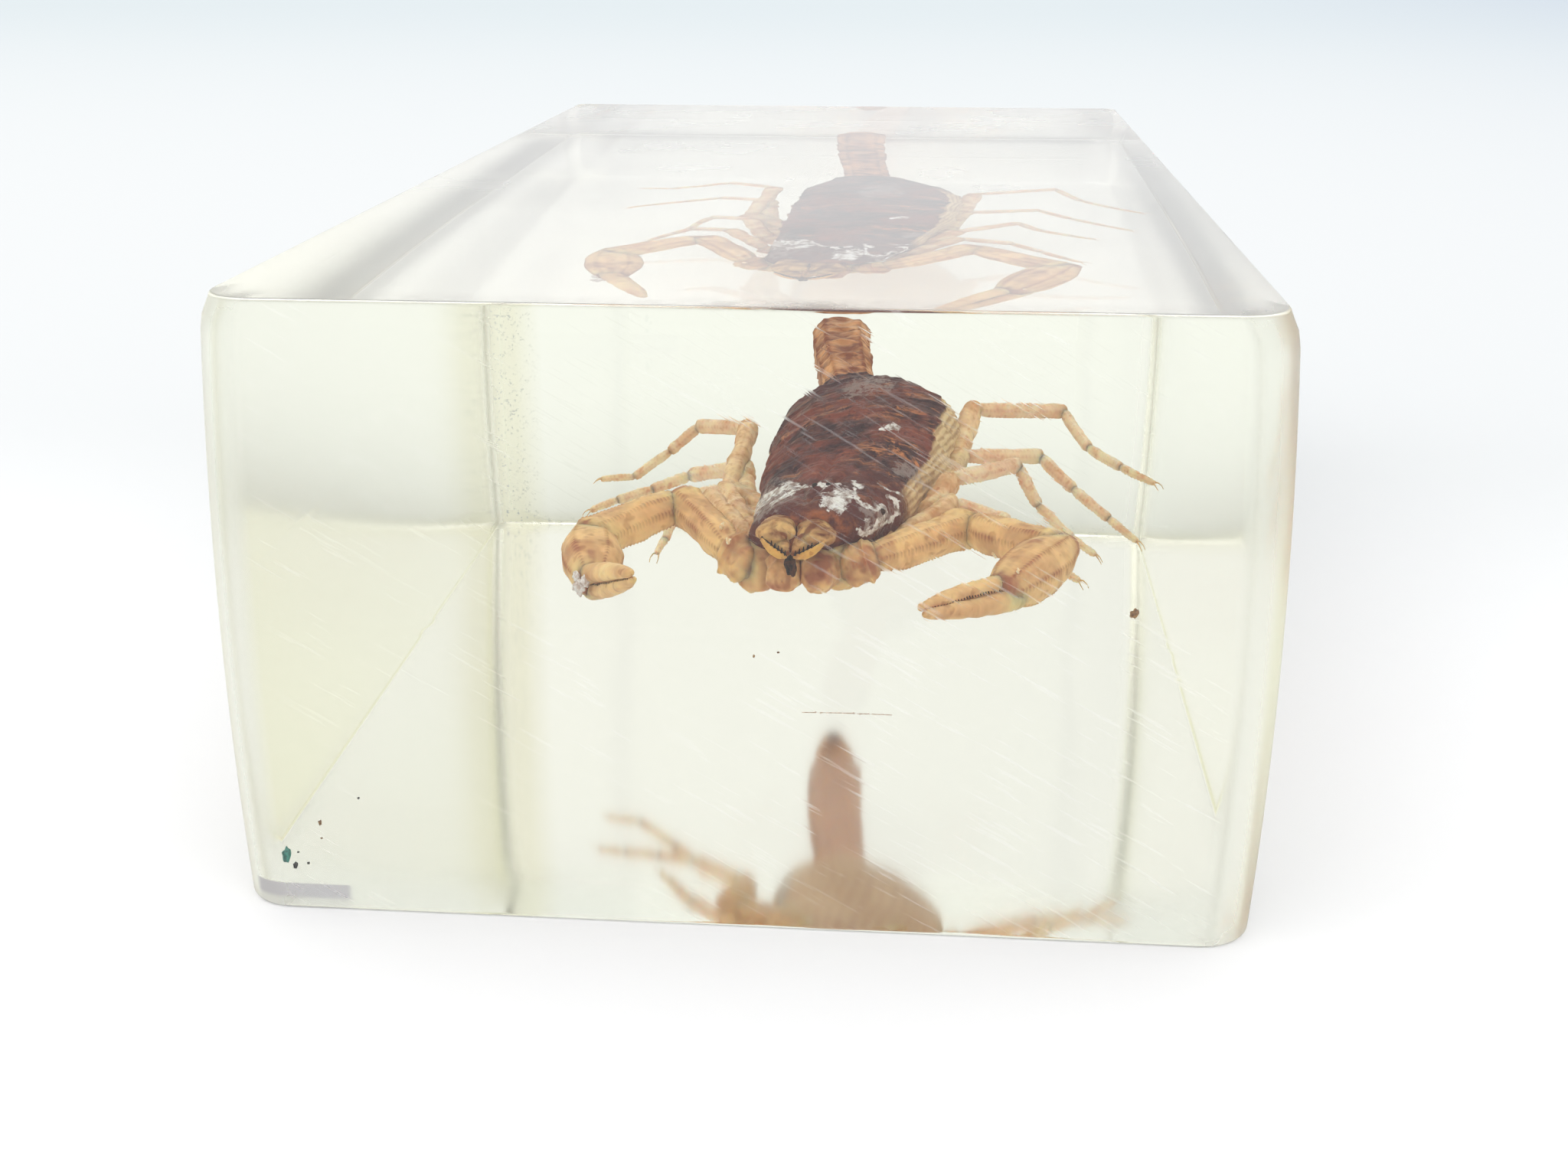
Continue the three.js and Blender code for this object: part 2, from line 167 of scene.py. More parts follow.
# Grains caught in the resin: name, two colours, then place, half width and height to width of each.
INCLUSIONS = (
    ("green_flecks", (0.06, 0.34, 0.26), (0.02, 0.12, 0.10), (((-18.5, -37.3, 2.2), 0.20, 1.6),)),
    ("black_specks", (0.05, 0.05, 0.05), (0.01, 0.01, 0.01), (
        ((-18.15, -37.4, 1.75), 0.11, 1.3), ((-17.6, -37.4, 1.85), 0.07, 0.8),
        ((-15.4, -36.8, 4.7), 0.05, 1.0), ((-18.0, -37.3, 2.3), 0.06, 0.6))),
    ("brown_specks", (0.42, 0.22, 0.07), (0.16, 0.07, 0.02), (
        ((15.6, -30.0, 12.0), 0.2, 0.9), ((-17.0, -37.2, 3.65), 0.08, 1.4),
        ((-17.0, -37.2, 2.95), 0.05, 0.7), ((0.3, -30.0, 9.6), 0.05, 1.2),
        ((1.3, -30.0, 9.8), 0.05, 0.8))),
)

# Lines along which a skin of air parts the resin from the shell, with half widths: its painted silver
# reflection, bright where it is thick, a thin greyer veil of painted reflection beside it, then the
# beads in it. The lines are drawn on the upright plane across the block at its middle, and carried to
# the shell along a direction that sinks and drifts to the tail.
SLANT = (-0.0424, -0.2209)
AIR_LINES = (
    (0.15, [[-1.25, 9.19], [-0.99, 9.6], [-0.63, 9.97], [-0.21, 10.24], [0.28, 10.5], [0.49, 10.62]]),
    (0.10, [[-0.47, 9.64], [-0.05, 9.9], [0.43, 10.17], [0.71, 10.36]]),
    (0.07, [[0.49, 10.62], [0.85, 10.49], [1.27, 10.37], [1.82, 10.27], [2.24, 10.39], [2.58, 10.48]]),
    (0.30, [[2.05, 9.8], [2.44, 9.93], [2.82, 10.02]]),
    (0.24, [[2.3, 9.59], [2.64, 9.5], [2.85, 9.7]]),
    (0.14, [[3.24, 10.6], [3.48, 10.49]]),
    (0.08, [[3.2, 10.41], [3.21, 10.08], [3.47, 9.83], [3.89, 9.6], [4.24, 9.4]]),
    (0.09, [[4.24, 9.4], [4.38, 9.62], [4.6, 9.59], [4.78, 9.34], [4.67, 9.05], [4.35, 8.94],
            [4.25, 8.65]]),
    (0.10, [[4.82, 10.14], [5.07, 10.0], [5.25, 9.76], [5.27, 9.32], [5.0, 8.95], [4.61, 8.76],
            [4.25, 8.58], [3.97, 8.35], [3.73, 8.24], [3.54, 8.52]]),
    (0.11, [[3.89, 8.92], [3.86, 8.5], [4.1, 8.7]]),
    (0.05, [[4.36, 10.71], [4.68, 10.46], [5.18, 10.3], [5.58, 10.1]]),
    (0.09, [[4.55, 13.38], [4.93, 13.47], [5.4, 13.43]]),
)
VEIL_LINES = (
    (0.45, [[-1.1, 9.3], [-0.5, 9.95], [0.3, 10.4]]),
    (0.35, [[5.6, 11.45], [6.23, 11.3], [6.6, 11.0]]),
    (0.5, [[3.42, 15.6], [3.97, 15.91], [4.74, 16.0]]),
    (0.4, [[4.0, 9.4], [4.8, 9.2], [4.2, 8.7]]),
)
AIR_BEADS = ((4.50, -16.4, 12.75), (5.16, -15.4, 12.75))

# Painted glints, pale gold blobs for the highlights where bubbles of air cling to the arms: place and
# half width.
PAINTED_GLINTS = (
    ((9.97, -15.2, 11.27), 0.12), ((10.33, -15.36, 10.96), 0.17), ((10.71, -16.07, 11.35), 0.09),
    ((10.93, -16.0, 10.91), 0.15), ((11.17, -21.9, 11.71), 0.09), ((-2.04, -15.98, 12.02), 0.14),
    ((-1.64, -17.2, 11.55), 0.17), ((6.97, -12.3, 11.6), 0.2), ((6.8, -12.5, 11.3), 0.12),
)

# Scraps of air film on the left hand, whitish blobs of painted reflection: place and half width.
HAND_FILM_REFLECTION = (((-8.25, -20.0, 10.4), 0.2), ((-8.1, -20.4, 10.05), 0.3), ((-7.8, -20.5, 10.35), 0.2))

# A hair in the resin under the scorpion: stations with half sizes.
HAIR = [
    [2.3, -30.0, 7.18, 0.008, 0.008], [4.0, -30.0, 7.21, 0.032, 0.022], [6.0, -30.0, 7.2, 0.008, 0.008],
]

# The dull ground patch at the block's left bottom corner, in metres: its ends along X, front and top.
CHIP_ENDS = (-0.0200, -0.0156)
CHIP_FRONT = -0.0362
CHIP_TOP = 0.00115

# Colours of the shell, darkest parts first, among them a painted highlight and a painted sheen, then of
# the belly, of the soft skin with painted shade in its creases, and the painted reflection of the air on
# them.
PLUM_BLACK, PIT, SHIELD_RED = (0.055, 0.03, 0.04), (0.05, 0.016, 0.018), (0.11, 0.026, 0.02)
OXBLOOD, RUST, BROW_HIGHLIGHT = (0.26, 0.065, 0.04), (0.62, 0.24, 0.09), (0.42, 0.13, 0.045)
PAINTED_SHEEN, GRAIN_TAN = (0.22, 0.15, 0.16), (0.62, 0.45, 0.34)
BELLY_LIGHT, BELLY_DARK = (0.85, 0.60, 0.46), (0.62, 0.40, 0.32)
SKIN_LIGHT, SKIN_MOTTLE_AND_CREASE_SHADE = (0.78, 0.58, 0.32), (0.52, 0.33, 0.17)
AIR_REFLECTION, AIR_REFLECTION_GAP, VEIL_REFLECTION = (0.88, 0.86, 0.83), (0.30, 0.21, 0.18), (0.44, 0.37, 0.34)
SHELL_IOR = 1.15

# What lies on the resin: dirt at the rim, with painted shade in it where the dark tail shows through the
# rounded edge, the rear edge's olive film and its dust, and the ground patch.
GRIME_AND_SHADE, OLIVE = (0.16, 0.09, 0.05), (0.86, 0.82, 0.62)
DUST, CHIP_LAVENDER = (0.30, 0.32, 0.34), (0.46, 0.43, 0.56)

# The floor, in metres: half its side, and its level, just under the block. Then its tones: paper,
# painted shade from the middle of the block backwards, far back and to the right, and painted light
# under the block with its glow.
FLOOR_HALF, FLOOR_LEVEL = 2.5, -0.00005
PAPER, PAPER_MOTTLE = (0.72, 0.72, 0.72), (0.71, 0.71, 0.71)
PAPER_BACK_SHADE, PAPER_FAR_SHADE, PAPER_RIGHT_SHADE = (0.565, 0.575, 0.58), (0.475, 0.518, 0.538), (0.329, 0.375, 0.469)
PAPER_UNDER_PAINTED_LIGHT, PAINTED_GLOW = (0.96, 0.96, 0.94), (0.4, 0.4, 0.39)

# The room's light: near the horizon, overhead, tinted to the right, and beside the block's rear.
SKY_LOW, SKY_HIGH = (0.84, 0.84, 0.84), (1.9, 1.9, 1.9)
SKY_RIGHT, SKY_ASIDE = (0.88, 0.89, 0.92), (0.76, 0.76, 0.60)

# The lamp's place, the camera's place, both in metres, and the camera's directions.
LAMP_PLACE = (-0.55, -0.1, 0.55)
CAMERA_PLACE = (0.007244, -0.100700, 0.038048)
CAMERA_RIGHT = (0.99645, 0.08423, 0.00066)
CAMERA_UP = (-0.02998, 0.34734, 0.93726)
CAMERA_AHEAD = (-0.07872, 0.93395, -0.34863)


class BlockSizes(bpy.types.PropertyGroup):
    """The resin block's measures."""

    width: bpy.props.FloatProperty(
        name="Width", description="Across the block", default=CAD_BOX[1][0] - CAD_BOX[0][0],
        unit="LENGTH")
    length: bpy.props.FloatProperty(
        name="Length", description="Along the block", default=CAD_BOX[1][1] - CAD_BOX[0][1],
        unit="LENGTH")
    height: bpy.props.FloatProperty(
        name="Height", description="Height of the block", default=CAD_BOX[1][2], unit="LENGTH")
    corner: bpy.props.FloatProperty(
        name="Corner", description="Radius of the upright edges", default=2.2 * MM, unit="LENGTH")
    edge: bpy.props.FloatProperty(
        name="Edge", description="Radius of the top and bottom edges", default=0.13 * MM, unit="LENGTH")
    lean: bpy.props.FloatProperty(
        name="Lean", description="How far the front face leans back", default=1.0 * MM, unit="LENGTH")
    bow: bpy.props.FloatProperty(
        name="Bow", description="How far the sides swell past the top edge", default=0.5 * MM,
        unit="LENGTH")
    belly: bpy.props.FloatProperty(
        name="Belly", description="Height where the sides are fullest", default=11.5 * MM, unit="LENGTH")
    seam: bpy.props.FloatProperty(
        name="Pour Line", description="Height where the second pour lies on the first",
        default=12.4 * MM, unit="LENGTH")


class Finishes(bpy.types.PropertyGroup):
    """Colours and clarity of the materials."""

    resin_ior: bpy.props.FloatProperty(
        name="Resin IOR", description="Refractive index of the resin", default=1.56, min=1.0, max=2.0)
    resin_tint: bpy.props.FloatVectorProperty(
        name="Resin Tint", description="Colour left after a long way through the resin",
        default=(0.90, 0.93, 0.0), size=3, subtype="COLOR", min=0, max=1)
    resin_depth: bpy.props.FloatProperty(
        name="Resin Depth", description="Strength of the resin's tint for each metre", default=1.75,
        min=0)
    amber: bpy.props.FloatVectorProperty(
        name="Amber", description="Thin shell of the limbs", default=(1.0, 0.68, 0.32),
        size=3, subtype="COLOR", min=0, max=1)
    brown: bpy.props.FloatVectorProperty(
        name="Brown", description="Thick shell and joints", default=(0.42, 0.17, 0.09),
        size=3, subtype="COLOR", min=0, max=1)
    back: bpy.props.FloatVectorProperty(
        name="Back", description="Darkest colour of the back plates", default=(0.045, 0.017, 0.02),
        size=3, subtype="COLOR", min=0, max=1)


class StageValues(bpy.types.PropertyGroup):
    """Floor, light and camera."""

    lens: bpy.props.FloatProperty(
        name="Lens", description="Focal length in millimetres", default=41.201,
        subtype="DISTANCE_CAMERA")
    daylight: bpy.props.FloatProperty(
        name="Daylight", description="Brightness of the room", default=1.12, min=0)
    lamp: bpy.props.FloatProperty(
        name="Lamp", description="Power of the soft lamp", default=0.35, min=0, unit="POWER")


# ---------------------------------------------------------------- curves, noise and surfaces


def unit(v):
    """Vectors divided by their length."""
    return v / np.maximum(np.linalg.norm(v, axis=-1, keepdims=True), 1e-12)


def smooth(a, b, x):
    """0 below a, 1 above b, and 3t^2 - 2t^3 between them."""
    t = np.clip((x - a) / (b - a), 0, 1)
    return t * t * (3 - 2 * t)


def bell(x, middle, width):
    """exp(-t^2), where t is the distance from the middle in widths."""
    return np.exp(-((x - middle) / width) ** 2)


def turned(around, angle):
    """How far the directions around a form lie from an angle, from -pi to pi."""
    return np.angle(np.exp(1j * (around - angle)))


def curve(knots, values, at):
    """A line through the values: a cubic between two knots, with the slope of the neighbours' chord
    at each."""
    knots, values, at = np.asarray(knots, float), np.asarray(values, float), np.asarray(at, float)
    slope = np.gradient(values, knots, axis=0)
    i = np.clip(np.searchsorted(knots, at, side="right") - 1, 0, len(knots) - 2)
    step = (knots[i + 1] - knots[i]).reshape((-1,) + (1,) * (values.ndim - 1))
    t = np.clip((at - knots[i]) / (knots[i + 1] - knots[i]), 0, 1).reshape(step.shape)
    return ((1 + 2 * t) * (1 - t) ** 2 * values[i] + t * (1 - t) ** 2 * step * slope[i]
            + t * t * (3 - 2 * t) * values[i + 1] + t * t * (t - 1) * step * slope[i + 1])


def noise(points, size, seed):
    """Heights from -1 to 1 drawn for the corners of cubes of that size, eased into one another."""
    p = points / size
    cell = np.floor(p).astype(np.int64)
    f = p - cell
    f = f * f * (3 - 2 * f)
    total = np.zeros(points.shape[:-1])
    for corner in np.ndindex(2, 2, 2):
        c = cell + corner
        h = (c @ np.array([374761393, 668265263, 1442695041]) + seed * 362437) & 0xFFFFFFFF
        h = ((h ^ (h >> 13)) * 1274126177) & 0xFFFFFFFF
        value = ((h ^ (h >> 16)) & 0xFFFF) / 32767.5 - 1
        total += value * np.prod(np.where(corner, f, 1 - f), axis=-1)
    return total


def nearest(points, line):
    """Distance of points in a plane from a line of straight stretches."""
    best = np.full(points.shape[:-1], 1e9)
    line = np.asarray(line, float)
    for a, b in zip(line[:-1], line[1:]):
        t = np.clip((points - a) @ (b - a) / ((b - a) @ (b - a)), 0, 1)
        best = np.minimum(best, np.linalg.norm(points - a - t[..., None] * (b - a), axis=-1))
    return best


class Form:
    """One closed skin: a grid of points, rows along it and columns round it, a pole at each end."""

    def __init__(self, grid, along=None, around=None, poles=None):
        self.grid = grid
        n, m = grid.shape[:2]
        self.along = np.linspace(0, 1, n) if along is None else along
        self.around = np.linspace(0, 2 * math.pi, m, endpoint=False) if around is None else around
        self.poles = poles
        self.values = {}
        self.outward = unit(grid - grid.mean(axis=1, keepdims=True))

    def swell(self, height):
        """Moves each point outwards, away from the middle of its row."""
        self.grid = self.grid + self.outward * height[..., None]
        return self

    def paint(self, **values):
        """Keeps a value for each point, which materials read by its name."""
        for name, value in values.items():
            self.values[name] = np.broadcast_to(value, self.grid.shape[:2]).astype(float)
        return self

    def shade(self, value):
        """Keeps how dark and thick the shell is at each point, from 0 to 1."""
        return self.paint(shade=np.clip(value, 0, 1))

    def ends(self, first, last):
        """1 at both ends of the form, easing to 0 at those shares of its length."""
        return (1 - smooth(0, first, self.along) * smooth(1, last, self.along))[:, None]

    def roughen(self, height, size, seed):
        """Moves each point outwards by smooth noise."""
        return self.swell(height * noise(self.grid, size, seed))


def tube(stations, up, sides=32, rows=60, square=2.0, dome=0.6, cap_rows=5):
    """A section carried along a line. The section's point at angle a is half width times cos a and half
    height times sin a, each raised to 2 / square with its sign kept. Past both ends the section shrinks
    as a quarter circle does, so that the end is a dome."""
    stations = np.asarray(stations, float)
    knots = np.r_[0, np.cumsum(np.linalg.norm(np.diff(stations[:, :3], axis=0), axis=1))]
    at = np.linspace(0, knots[-1], rows)
    line = curve(knots, stations, at)
    centre, half = line[:, :3], np.maximum(line[:, 3:5], 0.02)
    forward = unit(np.gradient(centre, at, axis=0))
    across = unit(np.cross(forward, np.asarray(up, float)))
    upward = np.cross(across, forward)
    turn = np.linspace(0, math.pi / 2, cap_rows + 1)[1:]
    shrink, reach = np.cos(turn * 0.97), np.sin(turn)
    pick = np.r_[np.zeros(cap_rows, int), np.arange(rows), np.full(cap_rows, rows - 1)]
    scale = np.r_[shrink[::-1], np.ones(rows), shrink]
    push = np.r_[-reach[::-1] * dome * half[0].min(), np.zeros(rows), reach * dome * half[-1].min()]
    a = np.linspace(0, 2 * math.pi, sides, endpoint=False)
    c, s = np.cos(a), np.sin(a)
    c, s = np.sign(c) * np.abs(c) ** (2 / square), np.sign(s) * np.abs(s) ** (2 / square)
    centre = centre[pick] + forward[pick] * push[:, None]
    size = half[pick] * scale[:, None]
    grid = (centre[:, None] + across[pick][:, None] * (size[:, :1] * c)[..., None]
            + upward[pick][:, None] * (size[:, 1:] * s)[..., None])
    form = Form(grid, at[pick] / knots[-1], a, (centre[0], centre[-1]))
    form.length = knots[-1]
    return form


def keels(form, angles, height, width, beads, pitch):
    """Raises a ridge at each angle: a bell curve across it, with a wave of beads along it."""
    a, along = form.around[None, :], form.along[:, None]
    total = np.zeros(form.grid.shape[:2])
    for k, angle in enumerate(angles):
        bead = 1 + beads * np.sin(2 * math.pi * (along * form.length / pitch + k * 0.37))
        total += bell(turned(a, angle), 0, width) * bead
    total *= smooth(0, 0.08, along) * smooth(1, 0.92, along)
    form.swell(total * height)
    return total


def crests(form, seed):
    """Thin broken dark lines along the top and the underside, where the shell's grains stand closest."""
    line = sum(bell(turned(form.around, angle), 0, 0.13) for angle in CREST_LINES)[None, :]
    return line * smooth(-0.35, 0.35, noise(form.grid, 0.28, seed))


def upright(a, b):
    """The up direction for a stretch: +Z, or +X where the stretch itself stands up."""
    d = unit(np.subtract(b, a))
    return (0, 0, 1) if abs(d[2]) < 0.85 else (1, 0, 0)


def limb(a, b, sizes, seed, bow=0.0, sides=36, rows=56, keel=0.05, square=2.2):
    """One stretch of a limb from a to b: narrow at its root, full along the middle, with a raised lip
    at its far end. Ridges run along it, and fine noise dents it as dried shell is."""
    a, b = np.asarray(a, float), np.asarray(b, float)
    up = upright(a, b)
    steps = np.array([0, 0.08, 0.22, 0.5, 0.78, 0.92, 1.0])
    full = np.array([0.62, 0.78, 0.94, 1.0, 1.0, 1.07, 1.0])
    side = unit(np.cross(b - a, np.asarray(up, float)))
    centre = a + np.outer(steps, b - a) + np.outer(np.sin(steps * math.pi) * bow, side)
    w0, h0, w1, h1 = sizes
    width, height = (w0 + (w1 - w0) * steps) * full, (h0 + (h1 - h0) * steps) * full
    form = tube(np.c_[centre, width, height], up, sides, rows, square, dome=0.45)
    ridge = keels(form, LIMB_KEELS, keel, 0.13, 0.7, 0.2)
    form.swell(bell(form.along, 0.94, 0.03)[:, None] * 0.05 * w1)
    form.roughen(0.08 * w0, 0.8 * w0, seed).roughen(0.02, 0.2, seed + 1)
    stain = 0.3 * noise(form.grid, 1.3 * w0, seed + 2) - 0.1
    return form.shade(0.8 * form.ends(0.1, 0.93) + 0.6 * ridge + 0.6 * crests(form, seed + 4) + stain)


def cone(a, b, radius, sides=6, bend=(0, 0, 0)):
    """A thin tapered spike from a to b, bowed by the bend at its middle."""
    a, b = np.asarray(a, float), np.asarray(b, float)
    t = np.array([0, 0.35, 0.7, 1.0])
    centre = a + np.outer(t, b - a) + np.outer(t * (1 - t) * 4, bend)
    size = radius * np.array([1, 0.8, 0.5, 0.12])
    return tube(np.c_[centre, size, size], upright(a, b), sides, 4, 2.0, 0.5, 1).shade(1.0)


def blob(centre, size, seed, sides=20, rows=12, lumps=0.25):
    """A lump: an ellipsoid whose radius is changed by noise."""
    v = np.linspace(0, math.pi, rows + 2)[1:-1]
    a = np.linspace(0, 2 * math.pi, sides, endpoint=False)
    ball = np.stack(np.broadcast_arrays(
        np.sin(v)[:, None] * np.cos(a), np.sin(v)[:, None] * np.sin(a), -np.cos(v)[:, None]), -1)
    ends = np.array([[0, 0, -1.0], [0, 0, 1.0]])
    size, centre = np.asarray(size, float), np.asarray(centre, float)

    def place(p):
        return centre + p * size * (1 + lumps * noise(p * 1.3 + seed * 7.7, 0.8, seed))[..., None]

    return Form(place(ball), poles=tuple(place(ends))).shade(0.0)


# ---------------------------------------------------------------- meshes


def build(name, forms, finish, nodes=(SHELL_NODE,)):
    """Joins closed skins in one mesh, faces outwards, and sets it on the frame in place of CAD nodes."""
    points, faces, values, start = [], [], {}, 0
    names = sorted({k for f in forms for k in f.values})
    for form in forms:
        n, m = form.grid.shape[:2]
        flat = form.grid.reshape(-1, 3)
        poles = form.poles or (form.grid[0].mean(axis=0), form.grid[-1].mean(axis=0))
        i, j = np.meshgrid(np.arange(n - 1), np.arange(m), indexing="ij")
        k = (j + 1) % m
        quads = np.stack([i * m + j, i * m + k, (i + 1) * m + k, (i + 1) * m + j], -1).reshape(-1, 4)
        ring, following = np.arange(m), (np.arange(m) + 1) % m
        last = (n - 1) * m
        fans = np.r_[np.c_[np.full(m, n * m), following, ring],
                     np.c_[np.full(m, n * m + 1), last + ring, last + following]]
        every = np.r_[flat, np.array(poles)]
        about = every - every.mean(axis=0)
        corners = np.r_[quads[:, [0, 1, 2]], quads[:, [0, 2, 3]], fans]
        volume = np.einsum("ij,ij->", about[corners[:, 0]],
                           np.cross(about[corners[:, 1]], about[corners[:, 2]]))
        if volume < 0:
            quads, fans = quads[:, ::-1], fans[:, ::-1]
        faces += (quads + start).tolist() + (fans + start).tolist()
        points.append(every)
        for key in names:
            value = form.values.get(key, np.zeros((n, m)))
            values.setdefault(key, []).append(np.r_[value.ravel(), value[0].mean(), value[-1].mean()])
        start += len(every)
    mesh = bpy.data.meshes.new(name)
    mesh.from_pydata((np.concatenate(points) * MM).tolist(), [], faces)
    for key in names:
        layer = mesh.attributes.new(key, "FLOAT", "POINT")
        layer.data.foreach_set("value", np.concatenate(values[key]).astype(np.float32))
    mesh.shade_smooth()
    mesh.materials.append(finish)
    piece = bpy.data.objects.new(name, mesh)
    bpy.context.scene.collection.objects.link(piece)
    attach(piece, BODY)
    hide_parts(*nodes)
    return piece


# ---------------------------------------------------------------- materials


def add(tree, kind, inputs=None, **settings):
    """A new node. Its inputs are values or the sockets of other nodes."""
    node = tree.nodes.new(kind)
    for key, value in settings.items():
        setattr(node, key, value)
    for key, value in (inputs or {}).items():
        socket = node.inputs[key]
        if isinstance(value, bpy.types.NodeSocket):
            tree.links.new(value, socket)
        elif socket.type == "RGBA" and len(value) == 3:
            socket.default_value = (*value, 1)
        else:
            socket.default_value = value
    return node


def mix(tree, factor, a, b, blend="MIX"):
    """The socket of a colour mixed from a to b."""
    node = add(tree, "ShaderNodeMix", data_type="RGBA", blend_type=blend)
    for index, value in ((0, factor), (6, a), (7, b)):
        if isinstance(value, bpy.types.NodeSocket):
            tree.links.new(value, node.inputs[index])
        else:
            node.inputs[index].default_value = value if index == 0 else (*value, 1)
    return node.outputs[2]


def calc(tree, operation, a, b=0.0, clamp=False):
    """The socket of a sum on one or two values."""
    return add(tree, "ShaderNodeMath", {0: a, 1: b}, operation=operation, use_clamp=clamp).outputs[0]


def times(tree, a, b):
    """The socket of a product."""
    return calc(tree, "MULTIPLY", a, b)


def plus(tree, a, b, clamp=False):
    """The socket of a sum, held between 0 and 1 where it is clamped."""
    return calc(tree, "ADD", a, b, clamp)


def span(tree, value, low, high, to_low=0.0, to_high=1.0):
    """The socket of a value carried from one range to another, eased and held at both ends."""
    return add(tree, "ShaderNodeMapRange", {0: value, 1: low, 2: high, 3: to_low, 4: to_high},
               interpolation_type="SMOOTHSTEP").outputs[0]


def attribute(tree, name):
    """The socket of a value kept on the mesh."""
    node = add(tree, "ShaderNodeAttribute", attribute_type="GEOMETRY", attribute_name=name)
    return node.outputs["Fac"]


def position(tree):
    """The sockets of the place in object coordinates, and of its x, y and z."""
    where = add(tree, "ShaderNodeTexCoord").outputs["Object"]
    return where, *add(tree, "ShaderNodeSeparateXYZ", {0: where}).outputs


def texture(tree, scale, vector=None, detail=4.0, roughness=0.6, distortion=0.0):
    """The socket of soft noise in object coordinates, with that many features for each metre."""
    vector = vector or add(tree, "ShaderNodeTexCoord").outputs["Object"]
    return add(tree, "ShaderNodeTexNoise", {
        "Vector": vector, "Scale": scale, "Detail": detail, "Roughness": roughness,
        "Distortion": distortion}).outputs["Fac"]


def spots(tree, where, scale, low, high, to_low=0.0, to_high=1.0, detail=3.0, roughness=0.6,
          distortion=0.0):
    """The socket of soft spots: noise carried from one range to another."""
    grain = texture(tree, scale, where, detail, roughness, distortion)
    return span(tree, grain, low, high, to_low, to_high)


def shell_group():
    """Colour and relief of dried shell: light and dark blotches, fine grain, darker where shaded."""
    old = bpy.data.node_groups.get("Dried Shell")
    if old:
        return old
    group = bpy.data.node_groups.new("Dried Shell", "ShaderNodeTree")
    for name, kind in (("Light", "Color"), ("Dark", "Color"), ("Shade", "Float"), ("Scale", "Float"),
                       ("Mottle", "Float")):
        group.interface.new_socket(name, in_out="INPUT", socket_type="NodeSocket" + kind)
    for name, kind in (("Color", "Color"), ("Height", "Float"), ("Roughness", "Float")):
        group.interface.new_socket(name, in_out="OUTPUT", socket_type="NodeSocket" + kind)
    given, out = add(group, "NodeGroupInput"), add(group, "NodeGroupOutput")
    light, dark, shade, scale, mottle = given.outputs[:5]
    blotch = texture(group, scale, detail=3.0, distortion=0.6)
    grain = texture(group, times(group, scale, 7.0), detail=2.0)
    freckles = spots(group, None, times(group, scale, 3.1), 0.60, 0.70, detail=1.0)
    depth = times(group, span(group, blotch, 0.36, 0.66), mottle)
    depth = plus(group, depth, times(group, shade, 0.8), True)
    colour = mix(group, depth, light, dark)
    colour = mix(group, times(group, freckles, 0.35), colour, dark, "MULTIPLY")
    colour = mix(group, times(group, grain, 0.2), colour, GRAIN_TAN, "MULTIPLY")
    group.links.new(colour, out.inputs["Color"])
    group.links.new(plus(group, blotch, times(group, grain, 0.5)), out.inputs["Height"])
    group.links.new(span(group, blotch, 0.3, 0.7, 0.32, 0.55), out.inputs["Roughness"])
    return group


def shader(name):
    """A new material's node tree and its Principled shader."""
    material = bpy.data.materials.new(name)
    material.use_nodes = True
    tree = material.node_tree
    return material, tree, tree.nodes["Principled BSDF"]


def shell(name, light, dark, scale=900.0, relief=0.06 * MM, flesh=0.35, mottle=1.0, extra=None):
    """A shell material from the group, with some light passing through the thin shell. Its gloss is
    low, because the shell lies in resin."""
    if name in bpy.data.materials:
        return bpy.data.materials[name]
    material, tree, surface = shader(name)
    group = add(tree, "ShaderNodeGroup", node_tree=shell_group())
    values = {"Light": (*light, 1), "Dark": (*dark, 1), "Scale": scale, "Mottle": mottle}
    for key, value in values.items():
        group.inputs[key].default_value = value
    tree.links.new(attribute(tree, "shade"), group.inputs["Shade"])
    colour, roughness = group.outputs["Color"], group.outputs["Roughness"]
    if extra:
        colour, roughness = extra(tree, colour, roughness)
    bump = add(tree, "ShaderNodeBump", {
        "Strength": 0.7, "Distance": relief, "Height": group.outputs["Height"]})
    tree.links.new(colour, surface.inputs["Base Color"])
    tree.links.new(roughness, surface.inputs["Roughness"])
    tree.links.new(bump.outputs[0], surface.inputs["Normal"])
    surface.inputs["IOR"].default_value = SHELL_IOR
    surface.inputs["Subsurface Weight"].default_value = flesh
    surface.inputs["Subsurface Radius"].default_value = (1.0, 0.5, 0.25)
    surface.inputs["Subsurface Scale"].default_value = 1.0 * MM
    return material


def amber_shell(look):
    """Thin amber shell of the arms."""
    return shell("amber_shell", look.amber, look.brown, 480.0, flesh=0.6, mottle=0.5)


def leg_shell():
    """Thin pale tan shell of the legs."""
    return shell("leg_shell", (1.0, 0.80, 0.57), (0.62, 0.31, 0.17), 700.0, flesh=0.7, mottle=0.45)


def tail_shell():
    """Rust-brown shell of the tail, a paler pink below."""

    def extra(tree, colour, roughness):
        below = times(tree, attribute(tree, "flesh"), 0.75)
        return mix(tree, below, colour, (0.70, 0.46, 0.38)), roughness

    return shell("tail_shell", (0.78, 0.38, 0.16), (0.24, 0.07, 0.03), 520.0,
                 flesh=0.4, mottle=0.9, extra=extra)


def bulb_shell():
    """Rust-brown shell of the poison bulb."""
    return shell("bulb_shell", (0.64, 0.34, 0.19), (0.16, 0.06, 0.03), 900.0, mottle=0.4)


def pale_shell():
    """Pale thin shell of the hips and of the soft sides."""
    return shell("pale_shell", (1.0, 0.74, 0.44), (0.62, 0.34, 0.17), 900.0, flesh=0.6, mottle=0.7)


def dark_shell():
    """Hard dark claws, teeth and sting."""
    return shell("dark_shell", (0.10, 0.035, 0.015), (0.015, 0.008, 0.006), 3000.0, flesh=0.0)


